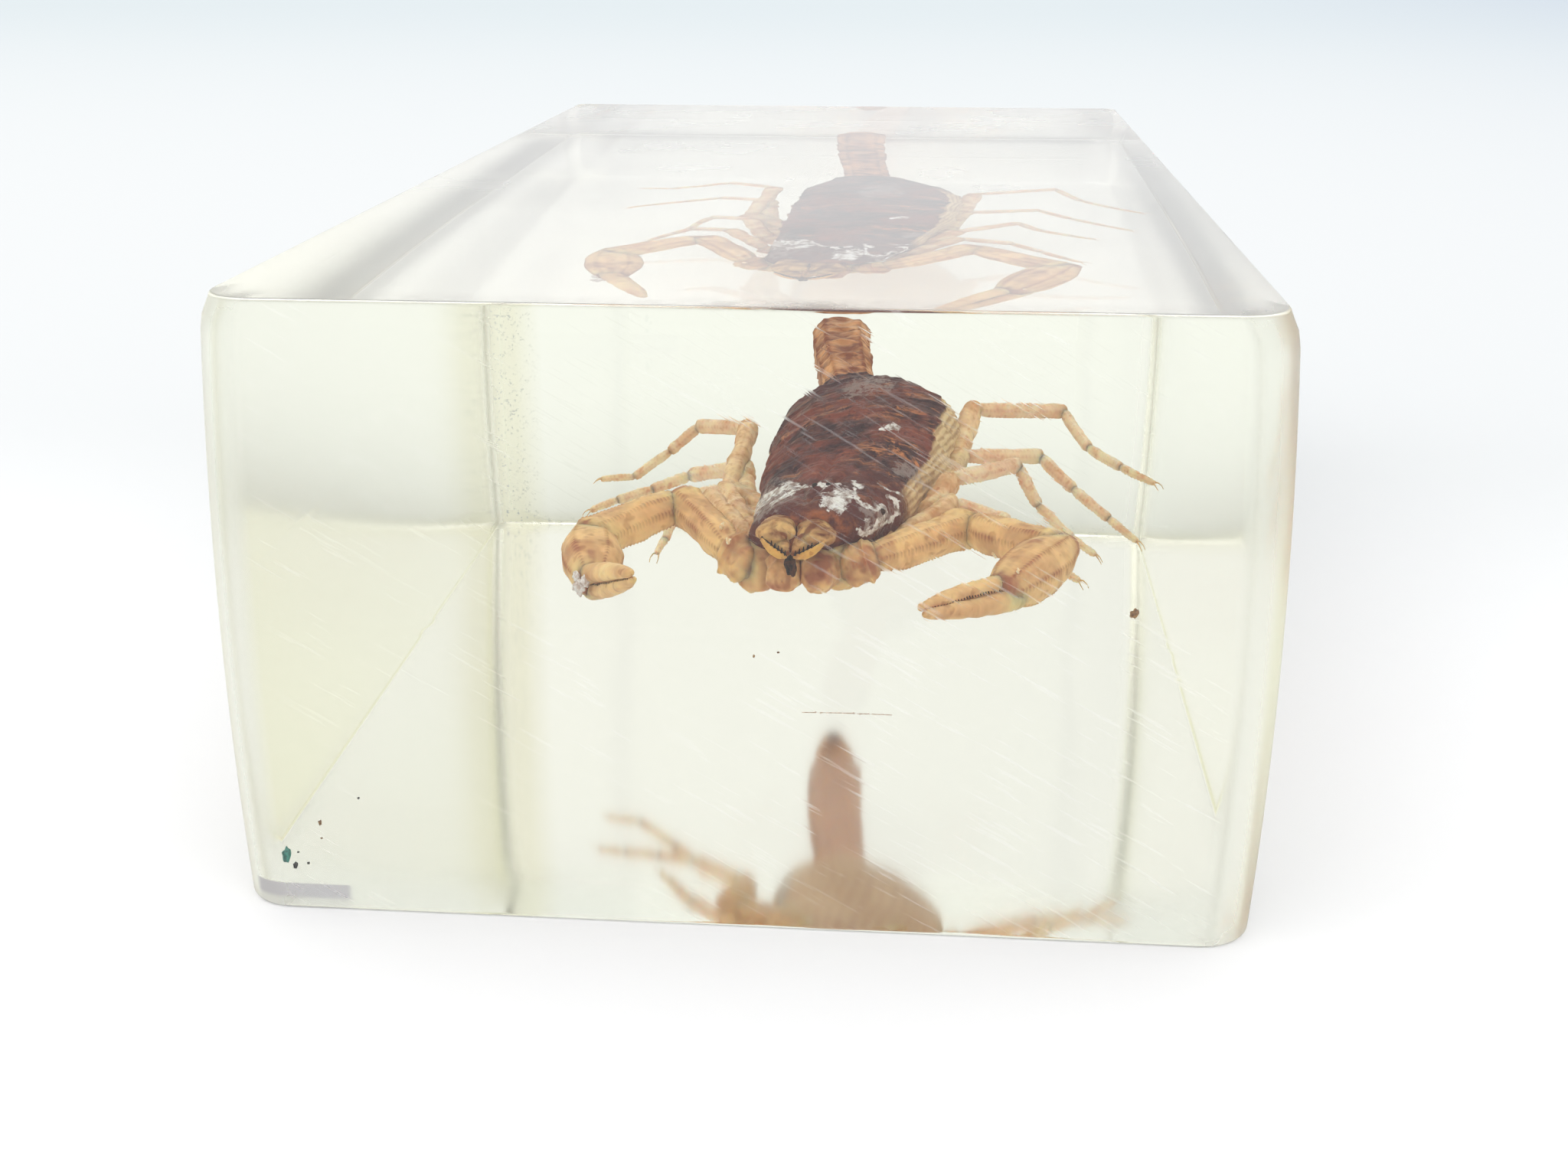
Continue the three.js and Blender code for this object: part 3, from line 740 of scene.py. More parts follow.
def back_shell(look):
    """The back: dark plates with rust-coloured streaks, a painted purple sheen and a painted highlight
    on the shield's front edge, soft pale skin beside them with painted shade in its creases, and a
    painted silver reflection where air lies on it."""

    def extra(tree, colour, roughness):
        where, x, y, _ = position(tree)
        streaked = add(tree, "ShaderNodeMapping", {
            "Vector": where, "Rotation": (0, BODY_ROLL, math.radians(10)),
            "Scale": (0.6, 1.3, 1.0)}).outputs[0]
        streak = spots(tree, streaked, 700.0, 0.50, 0.64, 0.0, 1.0, 5.0, 0.75, 1.2)
        side = span(tree, x, 0.0, 7.5 * MM, -0.06, 0.10)
        patch = span(tree, plus(tree, texture(tree, 240.0, where, 2.0), side), 0.42, 0.58)
        colour = mix(tree, times(tree, streak, patch), colour, RUST)
        colour = mix(tree, spots(tree, where, 330.0, 0.42, 0.62, 0.0, 0.75), colour, OXBLOOD)
        far = times(tree, span(tree, y, -4 * MM, 3 * MM), spots(tree, where, 500.0, 0.3, 0.6))
        colour = mix(tree, times(tree, far, 0.6), colour, PLUM_BLACK)
        # Painted sheen: pale purple-grey spots over the dark plates.
        sheen_spots = spots(tree, where, 900.0, 0.5, 0.72, 0.0, 0.3, 5.0, 0.8)
        colour = mix(tree, sheen_spots, colour, PAINTED_SHEEN)
        pits = spots(tree, where, 2600.0, 0.54, 0.66, 0.0, 0.7, 3.0, 0.7)
        colour = mix(tree, pits, colour, PIT)
        shield = attribute(tree, "shield")
        cover = times(tree, shield, spots(tree, where, 500.0, 0.3, 0.7, 1.0, 0.6, 4.0))
        colour = mix(tree, cover, colour, SHIELD_RED)
        # Painted highlight: an orange band along the shield's front edge.
        highlight_spots = spots(tree, where, 1400.0, 0.35, 0.65, 0.0, 0.8)
        colour = mix(tree, times(tree, attribute(tree, "brow"), highlight_spots), colour, BROW_HIGHLIGHT)
        roughness = calc(tree, "SUBTRACT", roughness, times(tree, shield, 0.12))
        belly = mix(tree, patch, BELLY_LIGHT, BELLY_DARK)
        colour = mix(tree, attribute(tree, "flesh"), colour, belly)
        # Painted shade: the soft skin is darker in the grooves of its folds and lighter on their ridges,
        # under random spots.
        fold = spots(tree, where, 1500.0, 0.3, 0.7, 0.0, 0.5)
        fold = calc(tree, "SUBTRACT", fold, attribute(tree, "fold"))
        skin = mix(tree, span(tree, fold, -0.2, 0.7), SKIN_LIGHT, SKIN_MOTTLE_AND_CREASE_SHADE)
        colour = mix(tree, attribute(tree, "pale"), colour, skin)
        # Painted reflection: where a skin of air lies on the shell, silver with darker gaps is painted
        # into the colour, with a thin greyer veil beside it.
        torn = texture(tree, 2600.0, where, 4.0, 0.7)
        reflection_mask = plus(tree, attribute(tree, "film"), span(tree, torn, 0.3, 0.7, -0.32, 0.32))
        reflection_mask = span(tree, reflection_mask, 0.42, 0.62)
        gaps = spots(tree, where, 2200.0, 0.40, 0.62, 0.0, 1.0, 4.0, 0.7)
        reflection_colour = mix(tree, gaps, AIR_REFLECTION, AIR_REFLECTION_GAP)
        thin = plus(tree, attribute(tree, "veil"), span(tree, torn, 0.3, 0.7, -0.5, 0.5))
        colour = mix(tree, span(tree, thin, 0.35, 0.95, 0.0, 0.5), colour, VEIL_REFLECTION)
        roughness = calc(tree, "SUBTRACT", roughness, times(tree, reflection_mask, 0.15))
        return mix(tree, reflection_mask, colour, reflection_colour), roughness

    return shell("back_shell", (0.15, 0.05, 0.038), look.back, 1000.0, 0.1 * MM,
                 flesh=0.1, extra=extra)


def resin_finish(look):
    """Clear cast resin, faintly yellow-green in depth, with hairline scratches and duller sides."""
    material, tree, surface = shader("clear_resin")
    where, x, y, z = position(tree)
    scratched = add(tree, "ShaderNodeMapping", {
        "Vector": where, "Rotation": (0, math.radians(30), math.radians(8)),
        "Scale": (22.0, 1.0, 0.35)}, vector_type="TEXTURE").outputs[0]
    lines = spots(tree, scratched, 2200.0, 0.60, 0.68, 0.0, 1.0, 2.0, 0.5)
    rubbed = times(tree, span(tree, x, -6 * MM, 8 * MM), span(tree, z, 16 * MM, 5 * MM, 0.0, 0.16))
    patch = span(tree, plus(tree, texture(tree, 70.0, where, 2.0), rubbed), 0.40, 0.62)
    lines = times(tree, times(tree, lines, patch), attribute(tree, "worn"))
    waves = texture(tree, 45.0, where, 1.0)
    height = plus(tree, times(tree, lines, -0.004), times(tree, waves, 0.3))
    bump = add(tree, "ShaderNodeBump", {"Strength": 1.0, "Distance": 0.1 * MM, "Height": height})
    # Dirt along the front rim, with painted shade where the dark tail shows through the rounded edge.
    smear = spots(tree, where, 1100.0, 0.35, 0.65, 0.45, 1.0, 3.0, 0.7)
    grime = times(tree, attribute(tree, "grime"), smear)
    colour = mix(tree, grime, (1.0, 1.0, 1.0), GRIME_AND_SHADE)
    olive = attribute(tree, "olive")
    colour = mix(tree, olive, colour, OLIVE)
    colour = mix(tree, times(tree, olive, spots(tree, where, 5200.0, 0.56, 0.70)), colour, DUST)
    left, right = CHIP_ENDS
    chip = times(tree, span(tree, x, left, left + 0.3 * MM), span(tree, x, right, right - 0.4 * MM))
    chip = times(tree, chip, span(tree, y, CHIP_FRONT, CHIP_FRONT - 0.5 * MM))
    chip = times(tree, chip, span(tree, z, CHIP_TOP, CHIP_TOP - 0.1 * MM))
    chip = times(tree, chip, span(tree, z, 0.3 * MM, 0.6 * MM, 0.35, 1.0))
    colour = mix(tree, chip, colour, CHIP_LAVENDER)
    roughness = plus(tree, times(tree, attribute(tree, "dull"), 0.45), times(tree, grime, 0.4))
    roughness = plus(tree, roughness, times(tree, lines, 0.10))
    roughness = plus(tree, roughness, times(tree, chip, 0.22))
    tree.links.new(colour, surface.inputs["Base Color"])
    tree.links.new(roughness, surface.inputs["Roughness"])
    tree.links.new(bump.outputs[0], surface.inputs["Normal"])
    veil = times(tree, attribute(tree, "haze"), spots(tree, where, 90.0, 0.3, 0.7, 0.8, 1.0))
    veil = plus(tree, veil, times(tree, lines, 0.8), True)
    tree.links.new(veil, surface.inputs["Coat Weight"])
    surface.inputs["Coat Roughness"].default_value = 0.5
    surface.inputs["Coat IOR"].default_value = 2.4
    surface.inputs["IOR"].default_value = look.resin_ior
    surface.inputs["Transmission Weight"].default_value = 1.0
    depth = add(tree, "ShaderNodeVolumeAbsorption", {
        "Color": look.resin_tint[:], "Density": look.resin_depth})
    tree.links.new(depth.outputs[0], tree.nodes["Material Output"].inputs["Volume"])
    return material


def speck_finish(name, light, dark):
    """Small grains caught in the resin."""
    material, tree, surface = shader(name)
    tone = mix(tree, span(tree, texture(tree, 6000.0), 0.4, 0.6), light, dark)
    tree.links.new(tone, surface.inputs["Base Color"])
    tree.links.new(span(tree, texture(tree, 9000.0), 0.3, 0.7, 0.25, 0.6), surface.inputs["Roughness"])
    return material


# ---------------------------------------------------------------- pieces


def block_form(size):
    """The block: a rectangle with round corners, carried up a profile with rounded rims. Rows near the
    rims and the corners lie close together, so that the flat faces stay flat. The sides swell a little
    at mid height, and the front face leans back evenly."""
    hx, hy, height = size.width / 2 / MM, size.length / 2 / MM, size.height / MM
    corner, rim, near = size.corner / MM, size.edge / MM, 0.06
    turn = np.linspace(0, math.pi / 2, 15)
    quarter = np.c_[np.cos(turn), np.sin(turn)]

    def outline(inset):
        """The rounded rectangle, counter-clockwise from its rear right corner."""
        points = []
        for k, (sx, sy) in enumerate(((1, 1), (-1, 1), (-1, -1), (1, -1))):
            r = max((1 if sy < 0 else 0.4) * corner - inset, 0.02)
            a, b = hx - inset - r, hy - inset - r
            arc = quarter if k % 2 == 0 else quarter[::-1]
            arc = np.c_[sx * (a + r * arc[:, 0]), sy * (b + r * arc[:, 1])]
            points.append(arc)
        loop = []
        for k in range(4):
            p, q = points[k][-1], points[(k + 1) % 4][0]
            long = np.linalg.norm(q - p)
            t = np.r_[near / long, np.linspace(0.02, 0.98, 23), 1 - near / long]
            loop += [points[k], p + np.outer(t, q - p)]
        return np.concatenate(loop)

    arc = np.linspace(0, math.pi / 2, 9)
    low = [(rim - rim * math.sin(t), rim - rim * math.cos(t)) for t in arc]
    walls = np.r_[near, np.linspace(0.03, 0.97, 40) * (height - 2 * rim), height - 2 * rim - near] + rim
    seam = size.seam / MM
    side = [(0.0028 * bell(z, seam, 0.22), z)
            for z in np.sort(np.r_[walls, seam + np.linspace(-0.6, 0.6, 13)])]
    high = [(inset, height - z) for inset, z in low[::-1]]
    rows = [outline(inset) for inset, z in low + side + high]
    levels = [z for _, z in low + side + high]
    shares = np.r_[near / hx, 0.05, 0.15, 0.35, 0.6, 0.85]
    first, last = rows[0], rows[-1]
    rows = [first * (1 - s) for s in shares[::-1]] + rows + [last * (1 - s) for s in shares]
    levels = [0.0] * len(shares) + levels + [height] * len(shares)
    plan, level = np.array(rows), np.array(levels)[:, None]
    lift, belly = level / height, size.belly / MM
    inset = size.bow / MM * ((level - belly) / (height - belly)) ** 2
    inset = inset + 0.35 * smooth(height - 1.6, height, level) ** 2
    x = plan[..., 0] * (1 - inset / hx)
    y = plan[..., 1] + size.lean / MM * lift * (0.5 - plan[..., 1] / (2 * hy))
    grid = np.stack([x, y, np.broadcast_to(level, x.shape)], -1)
    form = Form(grid, poles=((0, 0, 0), (0, 0, height)))
    front_rim = bell(level, height, 0.11) * smooth(-hy + 1.0, -hy + 0.4, plan[..., 1])
    # The rim's dirt is heavier around x 2.3 mm: there it is painted shade for the dark tail seen through
    # the rounded front edge.
    dirt_and_tail_shade = 0.30 + 0.70 * bell(x, 2.3, 2.6)
    nick = bell(x, -hx, 0.5) * bell(y, -27, 0.8) * bell(level, height, 0.4)
    flank = smooth(hx - 0.9, hx - 0.3, np.abs(plan[..., 0]))
    beyond = np.minimum(np.abs(plan[..., 0]) - (hx - corner), np.abs(plan[..., 1]) - (hy - corner))
    bend = smooth(-0.2, 0.4, beyond)
    under = smooth(0.3, 0.0, level) * smooth(-hy, -hy + 0.5, plan[..., 1])
    rear = smooth(hy - 3.0, hy - 2.0, plan[..., 1])
    low_rim = smooth(0.3, 0.1, level) * smooth(0.0, 0.1, level) * rear
    olive = rear * bend * (x < 0) + low_rim
    face = smooth(height, height - 0.05, level) * smooth(0.0, 0.05, level) * np.where(y < 0, 1.0, 0.3)
    form.paint(grime=np.clip(front_rim * dirt_and_tail_shade + nick, 0, 1),
               haze=smooth(height - 0.06, height, level) + np.zeros(x.shape),
               worn=(1 - bend) * (1 - flank) * face, olive=0.9 * olive,
               dull=np.clip(0.32 * flank + 0.6 * bend + 0.17 * under + 0.8 * low_rim, 0, 1))
    return form


def body_form():
    """Shield, seven back plates and belly: an oval section carried along Y with its width and height
    read from the rings, and turned by the body's roll. Each plate flares towards its back edge, which
    stands over the next. Wrinkles run across, and the dried shell sags between lumps."""
    a0, a1 = BODY_RINGS[0, 0], BODY_RINGS[-1, 0]
    y = np.linspace(a0, a1, 350)
    ring = curve(BODY_RINGS[:, 0], BODY_RINGS[:, 1:], y)
    middle, half = ring[:, :2], ring[:, 2:]
    around = np.linspace(0, 2 * math.pi, 240, endpoint=False)
    around = around + 0.30 * np.cos(around)
    c, s = np.cos(around), np.sin(around)
    power = 2 / 2.25
    side, rise = np.sign(c) * np.abs(c) ** power, np.sign(s) * np.abs(s) ** power
    across = np.array([math.cos(BODY_ROLL), 0, math.sin(BODY_ROLL)])
    upward = np.array([-math.sin(BODY_ROLL), 0, math.cos(BODY_ROLL)])
    centre = np.c_[middle[:, 0], y, middle[:, 1]]
    grid = (centre[:, None] + across * (half[:, :1] * side)[..., None]
            + upward * (half[:, 1:] * rise)[..., None])
    form = Form(grid, poles=(centre[0] - [0, 0.25, 0], centre[-1] + [0, 0.1, 0]))
    top = smooth(-0.25, 0.15, rise)[None, :]
    under = 1 - top
    starts = CARAPACE_END + np.r_[0, np.cumsum(TERGITE_LENGTHS)]
    plate = np.clip(np.searchsorted(starts, y, side="right") - 1, 0, len(TERGITE_LENGTHS) - 1)
    part = (y - starts[plate]) / np.array(TERGITE_LENGTHS)[plate]
    behind = y > CARAPACE_END
    step = np.where(behind, part ** 3 * smooth(1.0, 0.95, part), 0)
    lip = np.where(behind, bell(part, 0.93, 0.05), bell(y, CARAPACE_END - 0.2, 0.15))
    relief = TERGITE_FLARE * 1.3 * step[:, None] * top + 0.05 * lip[:, None] * top
    belly = ((y - CARAPACE_END) / 3.4) % 1
    relief = relief + 0.12 * (belly ** 4 * behind)[:, None] * under
    x = grid[..., 0]
    wander = noise(grid, 1.6, 3) * 0.7 + noise(grid, 0.6, 4) * 0.35
    line = np.sin(2 * math.pi * (y[:, None] + 0.10 * (x - 3.5) + wander) / 0.62)
    relief += 0.022 * line * top * smooth(-14, -11, y)[:, None]
    ridge = sum(bell(side, place, 0.05) for place in (-0.42, 0.0, 0.42))
    bead = 0.6 + 0.4 * np.sin(2 * math.pi * y / 0.33)
    relief += 0.07 * (ridge[None, :] * (bead * behind)[:, None]) * top
    fore = 1 - smooth(CARAPACE_END - 0.6, CARAPACE_END, y)[:, None]
    furrow = bell(side, 0, 0.06)[None, :]
    relief -= 0.22 * furrow * fore * top * smooth(-15.6, -14.0, y)[:, None]
    bend = bell(np.abs(side)[None, :], 0.35 + 0.09 * (y[:, None] + 13), 0.07)
    relief -= 0.16 * bend * fore * top * smooth(-17.2, -16.2, y)[:, None]
    hill = bell(x, EYE_HILL[0], 0.55) * bell(y[:, None], EYE_HILL[1], 0.75)
    relief += 0.34 * hill * top
    brink = 0.86 + 0.08 * smooth(-6.0, -10.0, y)[:, None]
    right = smooth(0, 0.03, side[None, :] - brink) * smooth(-0.6, -0.3, rise)[None, :]
    left = smooth(0.96, 0.99, -side)[None, :]
    pale = np.maximum(right, left) * smooth(-14.0, -12.0, y)[:, None] * smooth(3.0, 0.0, y)[:, None]
    fold = np.sin(around * 46 + 2.5 * noise(grid, 1.8, 8)) + 0.8 * noise(grid, 0.9, 9)
    relief += pale * (0.03 * fold - 0.10)
    form.swell(relief).roughen(0.13, 1.9, 11).roughen(0.07, 0.75, 12).roughen(0.03, 0.26, 13)
    flat = grid[..., [0, 2]] - grid[..., 1:2] * np.array(SLANT)
    film, veil = (np.max([1 - nearest(flat, path) / (2 * width) for width, path in lines], axis=0)
                  for lines in (AIR_LINES, VEIL_LINES))
    facing = smooth(-0.75, -0.55, rise)[None, :] * smooth(5.0, 4.0, y)[:, None]
    shield = smooth(-13.2, -13.8, y[:, None] - 0.9 * side[None, :] ** 2)
    # The masks kept here include those of the painted reflection of the air, the painted crease shade of
    # the soft skin and the painted highlight on the shield's front edge.
    form.paint(
        fold=0.5 * fold, shade=np.clip(0.9 * lip[:, None] * top + 0.25 - 0.35 * under, 0, 1),
        flesh=under * smooth(-0.2, -0.6, rise)[None, :] * smooth(-14, -12, y)[:, None],
        pale=np.maximum(pale, under * 0.5 * smooth(-14.5, -11.5, y)[:, None]),
        film=film * facing, veil=veil * facing, shield=shield, brow=smooth(-17.3, -17.7, y)[:, None])
    return form


def ring_of_tail(a, b, half_width, half_height, seed):
    """One tail ring: squarish, waisted at both joints, with beaded ridges and a groove on its back."""
    a, b = np.asarray(a, float), np.asarray(b, float)
    steps = np.array([0, 0.07, 0.2, 0.5, 0.8, 0.93, 1.0])
    full = np.array([0.78, 0.9, 0.97, 1.0, 1.02, 1.01, 0.96])
    stations = np.c_[a + np.outer(steps, b - a), half_width * full, half_height * full]
    form = tube(stations, (0, 0, 1), 88, 84, square=2.6, dome=0.25)
    ridge = keels(form, TAIL_KEELS, 0.08, 0.10, 0.25, 0.24)
    back = bell(form.around, math.pi / 2, 0.3)[None, :]
    form.swell(-0.20 * back * (smooth(0.05, 0.3, form.along) * smooth(0.98, 0.8, form.along))[:, None])
    form.roughen(0.10, 0.9, seed).roughen(0.05, 0.3, seed + 1)
    under = smooth(-0.1, -0.6, np.sin(form.around))[None, :]
    form.shade(0.7 * form.ends(0.07, 0.95) + 0.5 * ridge + 0.5 * back - 0.4 * under)
    return form.paint(flesh=under)


def leg_forms(name, points):
    """One leg: hip block, thigh, patella, shin and two foot joints, each a stretch of limb, and two
    claws."""
    hips, forms, claws = [], [], []
    seed = sum(map(ord, name)) * 5
    sizes = LEG_SIZES + [[0.12, 0.13]]
    for k in range(6):
        near, far = sizes[k], sizes[k + 1]
        far = [0.5 * (near[0] + far[0]), 0.5 * (near[1] + far[1])] if k < 3 else far
        rows = (30, 60, 50, 44, 40, 40)[k]
        form = limb(points[k], points[k + 1], (*near, *far), seed + 3 * k, bow=0.05,
                    sides=30 if k < 3 else 24, rows=rows, keel=0.035)
        if k < 2:
            form.roughen(0.08, 0.5, seed + 50 + k)
        form.shade(0.7 * form.values["shade"] + (0.3, 0.1, 0.1, 0.05, 0.05, 0.1)[k])
        (hips if k < 2 else forms).append(form)
    tip, ahead = np.array(points[-1]), unit(np.subtract(points[-1], points[-2]))
    side = unit(np.cross(ahead, (0, 0, 1)))
    for turn in (-1, 1):
        end = tip + ahead * 0.42 + side * 0.22 * turn - np.array([0, 0, 0.18])
        bend = side * 0.1 * turn + np.array([0, 0, 0.1])
        claws.append(cone(tip - ahead * 0.05, end, 0.05, 8, bend))
    return hips, forms, claws


def arm_forms(name, points):
    """One claw arm: root block, shoulder, thigh, patella, palm, and two long fingers whose biting edges
    meet."""
    p = np.array(points, float)
    seed = 100 if name == "left" else 200
    forms, teeth = [], []
    for k in range(4):
        near = ARM_SIZES[k]
        far = [0.96 * near[0], 0.96 * near[1]] if k < 2 else [1.06 * near[0], 1.04 * near[1]]
        form = limb(p[k], p[k + 1], (*near, *far), seed + 5 * k, bow=(0, 0, 0.12, 0.18)[k],
                    sides=44, rows=(50, 50, 80, 80)[k], keel=(0.01, 0.03, 0.05, 0.05)[k], square=2.3)
        if k < 2:
            form.roughen(0.12, 0.8, seed + 60 + k).roughen(0.09, 0.35, seed + 62 + k)
            coarse, fine = noise(form.grid, 0.9, seed + 64 + k), noise(form.grid, 0.35, seed + 66 + k)
            form.shade(0.35 + 0.5 * coarse + 0.4 * fine)
        forms.append(form)
    ahead = unit(p[5] - p[4])
    root = p[4] - ahead * PALM_BACK * 0.55
    steps = np.array([0, 0.28, 0.66, 1.0])
    line = root + np.outer(steps, p[5] - root)
    palm = tube(np.c_[line, np.array(PALM_SIZES)], (0, 0, 1), 48, 84, 2.3, 0.5)
    ridge = keels(palm, PALM_KEELS, 0.05, 0.1, 0.7, 0.2)
    palm.roughen(0.07, 0.9, seed + 31).roughen(0.02, 0.2, seed + 32)
    stain = 0.35 * noise(palm.grid, 1.4, seed + 33)
    palm.shade(0.7 * palm.ends(0.1, 0.9) + 0.6 * ridge + 0.6 * crests(palm, seed + 34) + stain)
    forms.append(palm)
    reach = p[6] - p[5]
    up = np.array([0, 0, 1.0])
    apart = unit(np.cross(reach, up))
    apart = unit(up * 0.92 + apart * 0.38) if name == "left" else unit(up * 0.80 + apart * 0.6)
    t = np.array([-0.12, 0.2, 0.45, 0.7, 0.9, 1.0])
    size = curve([0, 0.4, 0.75, 1], FINGER_SIZES, np.clip(t, 0, 1))
    for turn in (-1, 1):
        gap = FINGER_SPREAD * turn * np.array([1.08, 1.08, 1.0, 0.84, 0.62, 0.46])
        line = p[5] + np.outer(t, reach) + gap[:, None] * apart
        finger = tube(np.c_[line, size[:, 0], size[:, 1]], apart, 36, 110, 2.0, 0.9)
        inner = math.pi / 2 if turn < 0 else -math.pi / 2
        face = bell(turned(finger.around, inner), 0, 0.5)[None, :]
        finger.swell(-0.02 * face * np.ones((len(finger.along), 1)))
        finger.roughen(0.04, 0.5, seed + 40 + turn)
        stain = 0.35 * noise(finger.grid, 0.7, seed + 44 + turn)
        forms.append(finger.shade(0.4 * face + stain))
        for k in np.linspace(0.1, 0.96, 26):
            out = unit(np.cross(apart, reach)) * turn * np.interp(k, (0, 0.5, 1), (0.40, 0.34, 0.12))
            foot = p[5] + reach * k + apart * 0.03 * turn + out
            teeth.append(cone(foot + apart * 0.08 * turn, foot - apart * 0.04 * turn, 0.04, 6))
    return forms, teeth


def mouth_forms():
    """Two mouth pincers: a round hand, and a leaf-shaped finger in front of a dark one, which run down
    to the mouth hole and make a V. The arms' root plates lie below, in folds."""
    hands, fingers, dark = [], [], []
    for k in range(2):
        hand = tube(MOUTH_HANDS[k], (0, 0, 1), 64, 70, 2.1, 0.9)
        hand.roughen(0.09, 0.6, 301 + k).roughen(0.03, 0.2, 303 + k)
        stain = 0.2 + 0.35 * k + 0.5 * noise(hand.grid, 0.55, 305 + k)
        hands.append(hand.shade(stain + 0.8 * smooth(0.55, 0.2, hand.along)[:, None]))
        lip = tube(MOUTH_LIPS[k], (0, 0, 1), 40, 40, 2.4, 0.7).roughen(0.05, 0.3, 307 + k)
        hands.append(lip.shade(0.45 + 0.4 * noise(lip.grid, 0.3, 309)))
        a, b = np.array(MOUTH_FINGERS[k])
        t = np.array([0, 0.2, 0.45, 0.7, 0.9, 1.0])
        bow = np.outer(np.sin(t * math.pi), (0, -0.16, -0.14))
        leaf = np.array([0.10, 0.16, 0.19, 0.17, 0.12, 0.07])
        line = a + np.outer(t, b - a) + bow
        finger = tube(np.c_[line, leaf * 0.55, leaf], (0, 0, 1), 32, 44, 2.0, 0.8)
        finger.roughen(0.02, 0.25, 310 + k)
        fingers.append(finger.shade(0.5 * smooth(0.75, 1, finger.along)[:, None]))
        back = line + [0, 0.22, 0.02]
        dark.append(tube(np.c_[back, leaf * 0.5, leaf], (0, 0, 1), 28, 30, 2.0, 0.8).shade(0.6))
        for q in np.linspace(0.4, 0.95, 5):
            foot = a + (b - a) * q + [0, -0.12, 0.08]
            dark.append(cone(foot, foot + [0.02, -0.08, 0.24], 0.06, 6))
    plates = []
    for k in range(2):
        plate = tube(ROOT_PLATES[k], (0, 0, 1), 64, 90, 2.4, 0.9)
        plate.roughen(0.14, 0.8, 321 + k).roughen(0.09, 0.3, 323 + k)
        stain = 0.5 * noise(plate.grid, 0.7, 325 + k) + 0.4 * noise(plate.grid, 0.3, 327 + k)
        plates.append(plate.shade(0.45 + stain))
    return hands, fingers, dark, plates


class Maker(bpy.types.Operator):
    """Adds one group of pieces to the specimen."""

    bl_options = {"REGISTER", "UNDO"}

    def execute(self, context):
        self.make(context.scene.specimen_block, context.scene.specimen_finishes)
        return {"FINISHED"}


class SPECIMEN_OT_block(Maker):
    """Adds the clear resin block"""

    bl_idname = "specimen.block"
    bl_label = "Resin Block"

    def make(self, size, look):
        build("resin_block", [block_form(size)], resin_finish(look), RESIN_NODES)


class SPECIMEN_OT_body(Maker):
    """Adds the scorpion's shield, back plates, belly, eyes and combs"""

    bl_idname = "specimen.body"
    bl_label = "Body"

    def make(self, size, look):
        build("body", [body_form()], back_shell(look))
        eyes = [blob(place, (0.14, 0.16, 0.14), 4, lumps=0.05) for place in MIDDLE_EYES]
        eyes += [blob(place, (0.19, 0.19, 0.17), 6, lumps=0.1) for place in AIR_BEADS]
        eyes += [blob(place, (0.09, 0.1, 0.09), 5, lumps=0.05) for place in SIDE_EYES]
        build("eyes", eyes, dark_shell())
        combs = []
        for a, b in np.array(COMBS):
            combs.append(limb(a, b, (0.5, 0.2, 0.4, 0.18), 71, keel=0.01))
            side = unit(np.cross(b - a, (0, 0, 1))) * (1 if a[0] > 3 else -1)
            for t in np.linspace(0.08, 0.98, 17):
                foot = a + (b - a) * t - [0, 0, 0.05]
                end = foot + side * 0.85 - [0, 0, 0.12]
                tooth = [[*foot, 0.07, 0.1], [*((foot + end) / 2), 0.08, 0.11], [*end, 0.07, 0.09]]
                combs.append(tube(tooth, (0, 0, 1), 10, 8, 2.0, 0.9, 2).shade(0.1))
        build("combs", combs, pale_shell())


class SPECIMEN_OT_tail(Maker):
    """Adds the tail's five rings, poison bulb and sting"""

    bl_idname = "specimen.tail"
    bl_label = "Tail"

    def make(self, size, look):
        stretches = zip(TAIL_JOINTS[:-1], TAIL_JOINTS[1:], TAIL_HALF_WIDTHS)
        rings = [ring_of_tail(a, b, width, TAIL_HALF_HEIGHT, 20 + 3 * k)
                 for k, (a, b, width) in enumerate(stretches)]
        build("tail", rings, tail_shell())
        bulb = tube(BULB, (1, 0, 0), 48, 90, 2.0, 0.8)
        bulb.roughen(0.05, 0.7, 61).roughen(0.02, 0.2, 62)
        bulb.shade(smooth(0.78, 0.92, bulb.along)[:, None])
        build("poison_bulb", [bulb], bulb_shell())


class SPECIMEN_OT_legs(Maker):
    """Adds the eight legs and their claws"""

    bl_idname = "specimen.legs"
    bl_label = "Legs"

    def make(self, size, look):
        claws, roots = [], []
        for name, points in LEGS.items():
            hips, forms, ends = leg_forms(name, points)
            roots += hips
            claws += ends
            build("leg_" + name, forms, leg_shell())
        build("hips", roots, pale_shell())
        build("leg_claws", claws, leg_shell())


class SPECIMEN_OT_arms(Maker):
    """Adds the two claw arms and the rows of teeth between their fingers"""

    bl_idname = "specimen.arms"
    bl_label = "Claw Arms"

    def make(self, size, look):
        teeth = []
        for name, points in ARMS.items():
            forms, row = arm_forms(name, points)
            teeth += row
            build("arm_" + name, forms, amber_shell(look))
        build("finger_teeth", teeth, dark_shell())


